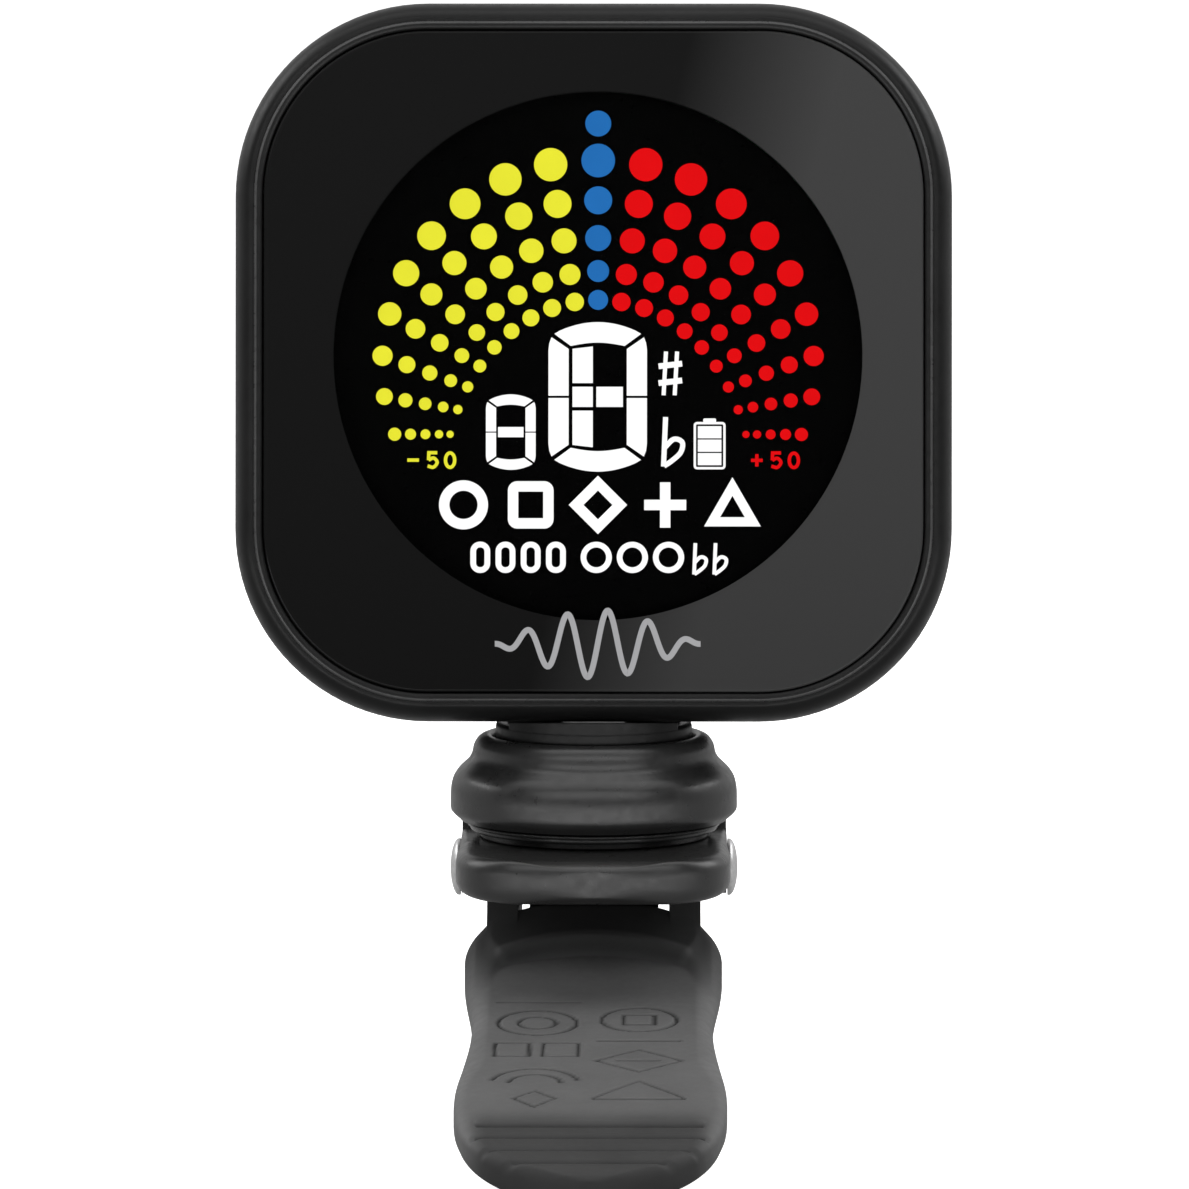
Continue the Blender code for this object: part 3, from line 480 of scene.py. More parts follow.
def make_bezel():
    """The front half of the casing: a rounded edge, a fine raised bead, and a step down to the lens."""
    round_y, bead = 2.25, 1.16
    edge = arc((bead, HEAD_FRONT + 0.15 + round_y), (bead, round_y), 180, 262, 18)
    bead_out = arc((bead + 0.2, HEAD_FRONT + 0.2), (0.16, 0.2), 180, 270, 5)
    bead_in = arc((LIP - 0.2, HEAD_FRONT + 0.22), (0.2, 0.22), 270, 360, 5)
    rear = PARTING - 0.05
    profile = [(0.16, rear), (0.02, rear - 0.14)] + edge + bead_out + bead_in + [
        (LIP, -7.08), (3.5, -7.08), (3.5, -6.2), (1.2, -6.2), (1.2, rear)]
    shell = skin([head_ring(*point) for point in profile], closed=True)
    cuts = [block((-POCKET_HALF, -5.5, HEAD_BOTTOM - 1), (POCKET_HALF, 1, HEAD_BOTTOM + 1.7)),
            prism(port_outline(0.15), HEAD_W / 2 - 2, HEAD_W / 2 + 1, "YZ")]
    shell = combined("DIFFERENCE", shell, *cuts)
    # The bead's front faces take the lighter material, a painted highlight.
    for face in shell.faces:
        x, y, z = face.calc_center_median()
        if y < HEAD_FRONT + 0.3 and bead < inset_at(x, z) < bead + 0.26:
            face.material_index = 1
    piece("front_shell", shell, HEAD, "head", [BLACK, BEAD_PAINTED_HIGHLIGHT], ["front_bezel"])


def make_lens():
    """The flat lens: an opaque printed surround and a clear round window."""
    half_w, half_h, corner = HEAD_W / 2 - LENS_EDGE, HEAD_H / 2 - LENS_EDGE, HEAD_R - LENS_EDGE

    def ring(inset, y):
        outline = rounded_rectangle(half_w - inset, half_h - inset, corner - inset, sides=24)
        return [(x, y, HEAD_MID + z) for x, z in outline]

    def window(y):
        found = []
        for x, _, z in ring(0, y):
            reach = math.hypot(x, z - HEAD_MID)
            found.append((DISPLAY_X + WINDOW_R * x / reach, y, DISPLAY_Z + WINDOW_R * (z - HEAD_MID) / reach))
        return found

    chamfer = [ring(0.15 * (1 - math.cos(a)), LENS_FRONT + 0.15 * (1 - math.sin(a)))
               for a in (math.radians(i * 22.5) for i in range(5))]
    lens = skin([window(LENS_BACK), ring(0, LENS_BACK), *chamfer, window(LENS_FRONT)])
    for face in lens.faces:
        face.material_index = 1 if len(face.verts) > 4 else 0
    piece("lens_with_window", lens, HEAD, "head", [SURROUND, WINDOW], ["display_lens"])


def make_rear_shell():
    """The rear half of the casing, with the neck pocket, the hinge lug, and its screw and button holes."""
    round_in, front = 4.0, PARTING + 0.05
    round_y = HEAD_BACK - front
    outer = arc((round_in, front + 0.12), (round_in, round_y - 0.12), 90, 180, 18)
    profile = outer + [(0.14, front), (1.3, front), (3.4, 1.9)]
    shell = skin([head_ring(*point) for point in profile])
    neck, floor = POCKET_HALF, POCKET_FRONT - 0.9
    adds = [block((-neck - 0.9, floor, HEAD_BOTTOM + 1.35), (neck + 0.9, 2.2, POCKET_TOP + 0.9)),
            block((-neck + 0.15, -5.35, -4.2), (neck - 0.15, POCKET_FRONT, -3.0))]
    adds += [rod(1.8, (x, front, z), (x, 2.0, z)) for x, z in boss_places()]
    shell = combined("UNION", shell, *adds)
    shell = combined("DIFFERENCE", shell, block((-neck, POCKET_FRONT, -8), (neck, 5, POCKET_TOP)))
    lug, lug_r = 1.5, 2.3
    shell = combined("UNION", shell, block((-lug, POCKET_FRONT - 0.3, -lug_r), (lug, 0, lug_r)),
                     rod(lug_r, (-lug, 0, 0), (lug, 0, 0), 48))
    cuts = [rod(TILT_HOLE_R, (-5, 0, 0), (5, 0, 0))]
    for x, z in boss_places():
        cuts += [rod(0.8, (x, -2, z), (x, 5, z)), rod(1.5, (x, 1.5, z), (x, 5, z))]
    for _, x, radius in BUTTONS:
        cuts.append(rod(radius + 0.12, (x, 0, BUTTON_Z), (x, 5, BUTTON_Z), 64))
    shell = combined("DIFFERENCE", shell, *cuts)
    piece("rear_shell", shell, HEAD, "head", [BLACK], ["rear_cover"])


def make_button_caps():
    """Dished push buttons with a fine ring cut round the dish."""
    for name, x, radius in BUTTONS:
        top, flange = HEAD_BACK + 0.25, 1.75
        dish = radius * 0.72
        profile = [(0, top - 0.14), (dish * 0.5, top - 0.11), (dish * 0.85, top - 0.03), (dish, top),
                   (dish + 0.06, top - 0.08), (dish + 0.2, top - 0.08), (dish + 0.26, top)]
        profile += [(radius - 0.2 + a, top - 0.22 + b) for a, b in arc((0, 0), (0.2, 0.22), 90, 0, 6)]
        profile += [(radius, flange), (radius + 0.6, flange), (radius + 0.6, flange - 0.5),
                    (0.9, flange - 0.5), (0.9, -1.2), (0, -1.2)]
        cap = lathe(profile, 64, place=along((0, 1, 0), (x, 0, BUTTON_Z)))
        piece(f"{name}_button_cap", cap, HEAD, f"{name}_key", [DARK], [f"{name}_button"])


# ---- display marks

MARK_FRONT, MARK_BACK = PANEL_FRONT - 0.07, PANEL_FRONT - 0.03


def on_display(x, z):
    return DISPLAY_X + x, DISPLAY_Z + z


def plate(bm, outline, front=MARK_FRONT, back=MARK_BACK):
    prism([on_display(x, z) for x, z in outline], front, back, "XZ", bm)


def stroke(bm, points, width, front=MARK_FRONT, back=MARK_BACK, closed=False):
    """A line of even width along points of the display."""
    points = [Vector(on_display(*point)) for point in points]
    count = len(points)
    rings = []
    for i, point in enumerate(points):
        ahead = points[(i + 1) % count] if closed else points[min(i + 1, count - 1)]
        behind = points[i - 1] if closed else points[max(i - 1, 0)]
        first, last = (point - behind), (ahead - point)
        first = first.normalized() if first.length else last.normalized()
        last = last.normalized() if last.length else first
        way = (first + last).normalized()
        reach = width / 2 / max(0.5, math.sqrt((1 + first.dot(last)) / 2))
        side = Vector((-way.y, way.x)) * reach
        left, right = point + side, point - side
        rings.append([(left.x, front, left.y), (right.x, front, right.y), (right.x, back, right.y),
                      (left.x, back, left.y)])
    skin(rings, closed, bm)


def polygon(centre, radius, count, turn=90):
    """Corners of a regular polygon."""
    return [(centre[0] + radius * math.cos(math.radians(turn + 360 * i / count)),
             centre[1] + radius * math.sin(math.radians(turn + 360 * i / count))) for i in range(count)]


FAN_Z = -4.63
FAN_DOTS = ((0.0, 0.55), (0.2, 0.63), (0.445, 0.75), (0.714, 0.84), (1.0, 1.0))
COLUMNS = 9


def fan_dot(bm, angle, radius, size):
    a = math.radians(angle)
    plate(bm, circle((radius * math.sin(a), FAN_Z + radius * math.cos(a)), size, 40))


def make_dial():
    """The fan of dots: a blue middle column, yellow columns to the left and red ones to the right."""
    shades = {side: bmesh.new() for side in (-1, 0, 1)}
    for place, size in ((8.0, 0.59), (9.72, 0.65), (11.68, 0.77), (13.93, 0.83), (16.3, 1.0), (18.5, 0.77)):
        fan_dot(shades[0], 0, place, size)
    for side in (-1, 1):
        for column in range(1, COLUMNS + 1):
            share = (column - 1) / (COLUMNS - 1)
            outer, inner = 16.3 - 4.2 * share**1.6, 8.0 + 0.8 * share**4
            dot = 0.99 - 0.6 * share**1.5
            for reach, size in FAN_DOTS:
                fan_dot(shades[side], side * 10 * column, inner + (outer - inner) * reach, dot * size)
        middle = (-9.85, 10.6)[side > 0]
        make_fifty(shades[side], (middle, -6.17), side > 0)
    for side, colour, material in ((0, "blue", BLUE), (-1, "yellow", YELLOW), (1, "red", RED)):
        piece(f"dial_dots_{colour}", shades[side], HEAD, "head", [material])


def make_fifty(bm, centre, plus):
    """The end numbers of the dial, -50 and +50."""
    high, width = 1.05, 0.2

    def at(x, points):
        return [(centre[0] + x + high * a, centre[1] + high * b) for a, b in points]

    stroke(bm, at(-1.15, [(-0.33, 0), (0.33, 0)]), width)
    if plus:
        stroke(bm, at(-1.15, [(0, -0.35), (0, 0.35)]), width)
    hook = smooth_line([(-0.22, 0.0), (0.06, 0.12), (0.27, -0.12), (0.06, -0.4), (-0.27, -0.33)], 5)
    stroke(bm, at(0.0, [(0.27, 0.42), (-0.2, 0.42), (-0.22, 0.0)]), width)
    stroke(bm, at(0.0, hook), width)
    stroke(bm, at(1.05, arc((0, 0), (0.26, 0.41), 0, 360, 28)[:-1]), width, closed=True)


def digit_segments(centre, size, inner):
    """Outlines of a barrel-shaped segmented figure. Inner adds the middle column of the large one."""
    side = [(-2.93, 0.07), (-1.73, 0.07), (-1.73, 2.85), (-2.75, 3.55), (-2.88, 3.2), (-2.93, 2.8)]
    cap = [(-2.58 + 5.16 * i / 16, 3.75 + 0.7 * math.sin(math.pi * i / 16) ** 0.8) for i in range(17)]
    cap += [(1.6 - 3.2 * i / 12, 3.03 + 0.2 * math.sin(math.pi * i / 12)) for i in range(13)]
    shapes = []
    for up in (1, -1):
        shapes.append([(x, up * z) for x, z in cap])
        for across in (1, -1):
            shapes.append([(across * x, up * z) for x, z in side])
        if inner:
            shapes.append([(-1.5, up * 0.82), (-0.29, up * 0.82), (-0.29, up * 3.0), (-1.5, up * 2.86)])
    if inner:
        shapes += [[(-1.5, -0.6), (-0.29, -0.6), (-0.29, 0.6), (-1.5, 0.6)],
                   [(-0.08, -0.6), (1.5, -0.6), (1.5, 0.6), (-0.08, 0.6)]]
    else:
        shapes.append([(-1.5, -0.6), (1.5, -0.6), (1.5, 0.6), (-1.5, 0.6)])
    return [[(centre[0] + size * x, centre[1] + size * z) for x, z in shape] for shape in shapes]


def flat_sign(bm, centre, high, width):
    """A musical flat: a stem and a bowl that closes in a point at its foot."""
    bowl = smooth_line([(-0.19, -0.12), (0.0, 0.06), (0.17, 0.0), (0.14, -0.2), (-0.04, -0.37),
                        (-0.19, -0.47)], 6)
    for points in ([(-0.16, 0.5), (-0.2, -0.48)], bowl):
        stroke(bm, [(centre[0] + high * x, centre[1] + high * z) for x, z in points], width)


def make_symbols():
    """The white marks: two segmented figures, sharp, flat, battery, and two rows of plain signs."""
    bm = bmesh.new()
    for shape in digit_segments((-0.02, -2.4), 1.0, True) + digit_segments((-5.19, -4.5), 0.505, False):
        plate(bm, shape)
    sharp = (4.3, -1.0)
    for x in (-0.33, 0.33):
        stroke(bm, [(sharp[0] + x - 0.07, sharp[1] - 1.3), (sharp[0] + x + 0.07, sharp[1] + 1.3)], 0.24)
    for z in (-0.5, 0.5):
        stroke(bm, [(sharp[0] - 0.7, sharp[1] + z - 0.08), (sharp[0] + 0.7, sharp[1] + z + 0.08)], 0.34)
    flat_sign(bm, (4.5, -5.1), 3.0, 0.3)

    battery = (6.64, -5.3)
    case = [(battery[0] + x, battery[1] + z) for x, z in rounded_rectangle(0.88, 1.34, 0.14, 4)]
    stroke(bm, case, 0.14, closed=True)
    plate(bm, [(battery[0] + x, battery[1] + 1.5 + z) for x, z in rounded_rectangle(0.38, 0.12, 0.08, 4)])
    for step in (-0.8, 0.0, 0.8):
        cell = ((-0.7, -0.36), (0.7, -0.36), (0.7, 0.36), (-0.7, 0.36))
        plate(bm, [(battery[0] + x, battery[1] + step + z) for x, z in cell])

    row, pitch, width = -8.83, 4.0, 0.62
    stroke(bm, circle((-2 * pitch, row), 1.15, 48), width, closed=True)
    stroke(bm, [(-pitch + x, row + z) for x, z in rounded_rectangle(1.05, 1.1, 0.25, 5)], width, closed=True)
    stroke(bm, polygon((0, row), 1.3, 4), width, closed=True)
    stroke(bm, [(pitch, row - 1.35), (pitch, row + 1.35)], width)
    stroke(bm, [(pitch - 1.25, row), (pitch + 1.25, row)], width)
    stroke(bm, polygon((2 * pitch, row - 0.3), 1.4, 3), 0.55, closed=True)

    row, width = -11.95, 0.34
    for x in (-7.0, -5.5, -4.0, -2.5):
        stroke(bm, [(x + a, row + b) for a, b in rounded_rectangle(0.42, 0.76, 0.4, 6)], width, closed=True)
    for x in (-0.1, 2.05, 4.2):
        stroke(bm, circle((x, row), 0.76, 36), width, closed=True)
    flat_sign(bm, (6.1, row - 0.1), 1.9, 0.22)
    flat_sign(bm, (7.3, row - 0.1), 1.9, 0.22)
    piece("display_symbols", bm, HEAD, "head", [WHITE])


def make_wave_print():
    """A plain wave printed below the window."""
    bm = bmesh.new()
    half, high = 6.1, 2.0
    points = []
    for i in range(181):
        x = half * (i / 90 - 1)
        swell = math.cos(math.pi * x / half / 2) ** 1.2 if abs(x) < half else 0.0
        points.append((x, -17.1 + high * swell * math.sin(math.tau * x / 2.4)))
    stroke(bm, points, 0.34, LENS_FRONT - 0.015, LENS_FRONT + 0.01)
    # The print's painted sheen glows from its material.
    piece("wave_print", bm, HEAD, "head", [PRINT_PAINTED_SHEEN])


# ---- neck

def make_turret():
    """A turned stem with ears for the head's lug."""
    stem = lathe([(0, STEM_TOP), (5.55, STEM_TOP), (5.74, 6.96), (5.86, 6.85), (STEM_R, 6.7), (STEM_R, 5.3),
                  (6.5, 5.3), (6.5, 4.4), (0, 4.4)])
    ear, ear_in, ear_out = 2.7, 1.85, 5.2
    ears = combined("UNION", block((-ear_out, TILT_Y - ear, 6.5), (ear_out, TILT_Y + ear, TILT_Z)),
                    rod(ear, (-ear_out, TILT_Y, TILT_Z), (ear_out, TILT_Y, TILT_Z), 64))
    ears = combined("INTERSECT", ears, rod(STEM_R - 0.05, (0, 0, 0), (0, 0, 20), ROUND_STEPS))
    ears = combined("DIFFERENCE", ears, block((-ear_in, -9, STEM_TOP + 0.05), (ear_in, 9, 20)))
    # A sloped collar on the front of the stem closes the view between the ears.
    collar = prism([(-6.5, 6.8), (-6.5, 7.62), (-3.0, 7.22), (-3.0, 6.8)], -5.5, 5.5, "YZ")
    collar = combined("INTERSECT", collar, rod(STEM_R - 0.02, (0, 0, 0), (0, 0, 20), ROUND_STEPS))
    stem = combined("UNION", stem, ears, collar)
    cuts = [rod(TILT_HOLE_R, (-8, TILT_Y, TILT_Z), (8, TILT_Y, TILT_Z))]
    cuts += [rod(1.75, (side * (ear_out - 1.1), TILT_Y, TILT_Z), (side * 9, TILT_Y, TILT_Z), 40)
             for side in (-1, 1)]
    stem = combined("DIFFERENCE", stem, *cuts)
    piece("neck_stem", stem, DECK, "neck", [BLACK], ["swivel_turret"])


def make_socket():
    """The cup the stem turns in, a flowing turned shell with a rolled rim."""
    outside = smooth_line([(6.1, 6.05), (6.18, 6.16), (6.35, 6.22), (6.62, 6.19), (6.95, 6.0), (7.2, 5.6),
                           (7.32, 5.1), (7.5, 4.75), (7.8, 4.45), (8.15, 4.1), (8.45, 3.6), (8.6, 2.9),
                           (8.62, 1.85)], 5)
    foot = [(8.58, 1.66), (8.4, 1.45), (8.1, 1.2), (8.02, 1.1), (6.75, 1.1), (6.75, 5.4), (6.1, 5.4)]
    cup = lathe(outside + foot, 144, closed=True)
    piece("socket_cup", cup, DECK, "clip_body", [CLIP_BLACK], ["swivel_socket"], 50)


def make_base_ring():
    """The stepped ring under the cup."""
    ring = lathe([(5.8, 3.5), (6.5, 3.5), (6.5, 0.98), (7.44, 0.98), (7.56, 0.95), (7.61, 0.87),
                  (7.58, 0.79), (7.46, 0.75), (7.42, 0.7), (7.44, 0.62), (7.4, 0.52), (7.28, 0.46),
                  (6.9, 0.42), (6.85, 0.1), (2.4, 0.1), (2.4, 0.8), (5.8, 0.8)], 128, closed=True)
    holes = [rod(0.8, (x, y, -1), (x, y, 2)) for x, y in BASE_SCREWS]
    ring = combined("DIFFERENCE", ring, *holes)
    piece("base_ring", ring, DECK, "clip_body", [GLOSS], ["swivel_base"])


# ---- clip

def section(half_w, top, bottom, radius, y, steps=8):
    """A rounded cross-section in the XZ plane at a depth y."""
    half_h = (top - bottom) / 2
    outline = rounded_rectangle(half_w, half_h, min(radius, half_h * 0.98, half_w * 0.98), steps)
    return [(x, y, (top + bottom) / 2 + z) for x, z in outline]


def nose_half_width(y):
    """Half the width of the upper lever's rounded front end."""
    share = min(1.0, (y - NOSE_Y) / 6.5)
    return NOSE_HALF * max(0.0, 1 - (1 - share) ** 2.6) ** 0.38


def make_upper_lever():
    """The fixed lever: a rounded finger plate in front, pivot walls, and a jaw behind."""
    stations = []
    for i in range(29):
        step = 6.5 * (i / 28) ** 2
        y = NOSE_Y + 0.0005 + step
        ease = 0.5 * max(0.0, 1 - step / 1.1) ** 2
        stations.append(section(nose_half_width(y), -ease, NOSE_UNDER + ease, 0.9, y))
    side = EAR_WALL_OUT + 0.03
    stations.append(section(NOSE_HALF, 0, NOSE_UNDER, 0.9, -3.0))
    stations.append(section(side, 0, -2.3, 0.5, -1.6))
    stations.append(section(side, 0, -2.3, 0.4, 5.5))
    jaw = smooth_line([(8.0, 7.6, 0.05, -2.3), (11.0, 7.2, 0.4, -2.2), (14.0, 7.0, 0.9, -1.8),
                       (17.5, 6.9, 1.2, -1.0)], 4)
    stations += [section(half_w, top, bottom, 0.5, y) for y, half_w, top, bottom in jaw]
    for i in range(13):
        y = 28.0 + 4.0 * math.sin(math.pi / 2 * i / 12)
        share = (y - 28.0) / 4.0
        half_w = 3.4 + 3.5 * math.sqrt(max(0.0, 1 - share**2))
        stations.append(section(half_w, 1.2 - 0.6 * share**3, -1.0 + 0.5 * share**3, 0.5, y))
    lever = skin(stations)

    walls = []
    for side in (-1, 1):
        low, high = sorted((side * EAR_WALL_IN, side * EAR_WALL_OUT))
        outline = [(-0.9, -1.0)] + arc((PIVOT_Y, PIVOT_Z), (EAR_WALL_R, EAR_WALL_R), 190, 350, 24)
        outline += [(6.0, -1.0), (8.4, -0.9), (8.0, 0.72), (4.1, 0.72), (3.6, -0.8)]
        walls.append(prism(outline, low, high, "YZ"))
    lever = combined("UNION", lever, *walls)

    inner = arc((0, -4.2), (6.6, 6.7), 180, 360, 28) + [(6.6, -1.4), (-6.6, -1.4)]
    cuts = [prism(inner, -6, -1.2, "XY"), block((-6.65, -1.8, -6), (6.65, 16.2, -1.22)),
            block((-6.6, -0.1, -6), (6.6, 4.15, 3))]
    lever = combined("DIFFERENCE", lever, *cuts)
    posts = [rod(1.3, (x, y, -2.0), (x, y, -0.5)) for x, y in BASE_SCREWS]
    lever = combined("UNION", lever, *posts)
    holes = [rod(0.7, (x, y, -4), (x, y, 2)) for x, y in BASE_SCREWS]
    holes.append(rod(PIN_HOLE_R, (-9, PIVOT_Y, PIVOT_Z), (9, PIVOT_Y, PIVOT_Z), 40))
    lever = combined("DIFFERENCE", lever, *holes)
    piece("finger_plate", lever, DECK, "clip_body", [CLIP_BLACK], ["upper_lever"])


def paddle_half_width(y):
    """Half the width of the finger paddle: a round rear end, a waist, and a round tip."""
    waist_y, waist, wide_y, wide, rear_y = -13.2, 7.08, -26.9, 7.8, -3.6
    if y > rear_y:
        reach = min(1.0, (y - rear_y) / (1.0 - rear_y))
        return PADDLE_R * math.sqrt(max(0.0, 1 - reach**2))
    if y > waist_y:
        share = (y - waist_y) / (rear_y - waist_y)
        return waist + (PADDLE_R - waist) * (1 - math.cos(math.pi * share)) / 2
    if y > wide_y:
        share = (y - waist_y) / (wide_y - waist_y)
        return waist + (wide - waist) * (1 - math.cos(math.pi * share)) / 2
    share = min(1.0, (y - wide_y) / (PADDLE_TIP_Y - wide_y))
    return wide * max(0.0, 1 - share**2.6) ** (1 / 2.2)


FLOOR_LINE = smooth_line([(8.0, -4.05), (-3.2, -6.85), (-9.2, -8.35), (-18.0, -9.75), (-27.0, -11.2),
                          (-30.0, -11.95), (-34.0, -13.05), (-37.0, -14.0)], 8)


def floor_height(y):
    """Height of the paddle's hollowed floor along its middle line."""
    for (y0, z0), (y1, z1) in zip(FLOOR_LINE, FLOOR_LINE[1:]):
        if y >= y1:
            return z0 + (z1 - z0) * (y0 - y) / (y0 - y1)
    return FLOOR_LINE[-1][1]


def hub_height(x, y):
    """Height of the raised hub behind the step: it falls to the crest of the step."""
    crest_y = step_y(x) + 0.6
    crest_z = -5.6 - 0.023 * x * x
    return -4.0 + (y - 1.0) * (crest_z + 4.0) / (crest_y - 1.0)


def step_y(x):
    """Where the step meets the floor, an arch across the paddle."""
    return -3.2 - 1.95 * min(1.15, abs(x) / 6.15) ** 2


def box_line(x, y, half_x, half_y, width):
    """1 on the outline of a rectangle and 0 away from it."""
    return line_share(max(abs(x) - half_x, abs(y) - half_y), width)


def line_share(distance, width):
    return 1.0 - between(abs(distance), width * 0.3, width * 0.9)


def engraving(x, y):
    """Depth, from 0 to 1, of the plain signs moulded into the paddle in two columns."""
    width = 0.19
    left, right = x + 3.2, x - 2.75
    depth = 0.0
    if abs(left) < 2.9:
        depth = max(
            line_share(y + 10.2, width) * (abs(left) < 2.5),
            line_share(math.hypot(left, y + 14.0) - 2.3, width),
            line_share(math.hypot(left, y + 14.0) - 1.1, width),
            box_line(left + 1.4, y + 19.0, 1.0, 1.2, width),
            box_line(left - 1.4, y + 19.0, 1.0, 1.2, width),
            line_share(math.hypot(left, y + 25.0) - 2.5, width) * (y > -24.6),
            line_share(math.hypot(left, y + 25.0) - 1.5, width) * (y > -25.0),
            line_share(abs(left) + abs(y + 27.6) - 1.2, width),
        )
    if abs(right) < 2.7:
        depth = max(
            line_share(math.hypot(right, y + 13.4) - 2.2, width),
            box_line(right, y + 13.4, 0.9, 0.9, width),
            line_share(y + 17.4, width) * (abs(right) < 2.4),
            line_share(abs(right) * 0.8 + abs(y + 21.0) - 2.0, width),
            line_share(y + 21.0, width) * (abs(right) < 1.2),
            line_share(max(abs(right) + (y + 25.0) * 0.9, -y - 27.4) - 0.3, width) * (y < -24.2),
        )
    return depth


# Finger grooves: y, half width, half length and depth.
RIDGES = ((-31.0, 0.55, 6.7, 0.26), (-32.6, 0.32, 6.9, 0.2), (-34.1, 0.32, 6.8, 0.18),
          (-35.6, 0.3, 5.2, 0.16))


def ridge_share(x, y):
    """How far a place is down one of the finger grooves, from 0 to 1, and that groove's depth."""
    for ridge_y, width, reach, depth in RIDGES:
        ends = 1 - between(abs(x), reach - 0.35, reach)
        ahead = (ridge_y + width - y) / (2 * width)
        if 0 < ahead < 1:
            return ends * between(ahead, 0.0, 0.3) * (1 - between(ahead, 0.45, 1.0)), depth
    return 0.0, 0.0


def paddle_height(x, y):
    """Height of the paddle's upper face."""
    half = paddle_half_width(y)
    ground = floor_height(y)
    spread = 3.0 * between(abs(x), CREASE_X - 0.7, CREASE_X + 0.5)
    rise = between(y, step_y(x) - 0.05 - spread, step_y(x) + 0.62 + spread)
    z = ground + (hub_height(x, y) - ground) * rise
    z -= 0.13 * engraving(x, y) * (1 - rise)
    share, depth = ridge_share(x, y)
    z -= share * depth
    # Rounded shoulders outside the crease, narrower towards the tip.
    flare = between(-y, 20.0, 26.0)
    start = CREASE_X + (max(0.0, half - 0.9) - CREASE_X) * flare
    start = min(start, max(0.0, half - 0.6))
    if abs(x) > start and half > start:
        t = min(1.0, (abs(x) - start) / (half - start))
        z -= 0.2 * t * (1 - flare) + 0.75 * (1 - math.sqrt(max(0.0, 1 - t * t)))
    return z


def paddle_stations():
    """Depths of the paddle's cross-sections, closer where its shape turns quickly."""
    step, y = 0.11, 0.96
    found = [0.985, 0.96]
    while y > PADDLE_TIP_Y + 0.3:
        y -= step
        found.append(y)
    return found + [PADDLE_TIP_Y + 0.2, PADDLE_TIP_Y + 0.1, PADDLE_TIP_Y + 0.04, PADDLE_TIP_Y + 0.01]


def make_paddle(bm):
    """Adds the paddle to the lever's arms, and the mesh attribute of painted shade that darkens its material."""
    across = 120
    rings = []
    for y in paddle_stations():
        half = max(paddle_half_width(y), 0.4)
        ends = max(0.0, 1 - (y - PADDLE_TIP_Y) / 1.1, 1 - (1.0 - y) / 0.9)
        fall = 0.55 * (1 - math.sqrt(max(0.0, 1 - ends**2)))
        under = floor_height(y) - 2.0 if y < -3 else floor_height(y) - 1.6
        ring = []
        for i in range(across + 1):
            x = half * math.sin(math.pi / 2 * (1 - 2 * i / across))
            ring.append((x, y, paddle_height(x, y) - fall))
        sides = [(-half, y, under + 0.55), (-half + 0.16, y, under + 0.2), (-half * 0.93 + 0.3, y, under)]
        rings.append(ring + sides + [(-x, y, z) for x, y, z in reversed(sides)])
    first = len(bm.verts)
    skin(rings, bm=bm)
    painted_shade = bm.verts.layers.float.new("painted_shade")
    bm.verts.ensure_lookup_table()
    for place, vert in enumerate(bm.verts):
        x, y, z = vert.co
        # Painted shade on the arms and cheeks, which lie in the shade of the upper lever.
        vert[painted_shade] = 0.9
        if place >= first:
            inner = between(paddle_half_width(y) - abs(x), 0.5, 1.6)
            # Painted shade on the raised hub and its step, in the shade of the upper lever.
            spread = 4.0 * between(abs(x), CREASE_X - 1.2, CREASE_X + 0.8)
            hub = 0.9 * between(y, step_y(x) - 0.3 - spread, step_y(x) + 0.3 + spread)
            # Painted shade on the tip, which faces away from the light.
            tip = 0.8 * between(-y, 28.5, 31.5) * between(CREASE_X + 1.5 - abs(x), 0.2, 1.8)
            # A painted highlight along the crest of the step, where the hub's painted shade eases off.
            crest = 1 - between(abs(y - step_y(x) - 0.75), 0.1, 0.5)
            hub -= 0.5 * hub * crest * between(-abs(x), -6.4, -5.4)
            vert[painted_shade] = max(hub, tip)
            # Painted shade in the finger grooves and the moulded signs.
            if inner and z > floor_height(y) - 1.2:
                vert[painted_shade] = max(hub, tip, engraving(x, y), ridge_share(x, y)[0])


def make_lower_lever():
    """The moving lever: a ribbed finger paddle, two cheeks on the pin, and a jaw behind."""
    arm = [(-2.0, -6.2), (-0.2, -4.7), (4.2, -4.45), (6.0, -3.5), (10.0, -3.6), (16.5, -4.9), (17.5, -5.3),
           (31.4, -5.3), (31.8, -5.7), (31.4, -6.6), (30.6, -6.7), (18.5, -6.7), (10.0, -5.4), (4.5, -5.6),
           (0.5, -7.2), (-2.0, -7.6)]
    side_arm = [(6.0, -3.5), (10.0, -3.6), (16.5, -4.9), (17.5, -5.3), (31.4, -5.3), (31.8, -5.7),
                (31.4, -6.6), (30.6, -6.7), (18.5, -6.7), (10.0, -5.3), (6.2, -4.6)]
    ring = arc((PIVOT_Y, PIVOT_Z), (CHEEK_R, CHEEK_R), 180, 30, 24)
    cheek = [(-5.0, -8.2), (-3.4, -6.3), (-0.6, -4.6)] + ring
    cheek += [(6.5, -3.4), (10.0, -3.6), (16.5, -4.9), (16.5, -6.8), (10.0, -6.4), (4.0, -6.6), (0.0, -8.2)]
    frame_of_arms = combined("UNION", prism(arm, -3.9, 3.9, "YZ"),
                             prism(side_arm, -CHEEK_OUT, CHEEK_OUT, "YZ"),
                             prism(cheek, -CHEEK_OUT, -CHEEK_IN, "YZ"),
                             prism(cheek, CHEEK_IN, CHEEK_OUT, "YZ"))
    lever = combined("DIFFERENCE", frame_of_arms,
                     rod(PIN_HOLE_R + 0.03, (-9, PIVOT_Y, PIVOT_Z), (9, PIVOT_Y, PIVOT_Z), 40))
    make_paddle(lever)
    piece("finger_paddle", lever, DECK, "lower_lever_body", [PADDLE_BLACK], ["lower_lever"],
          50)


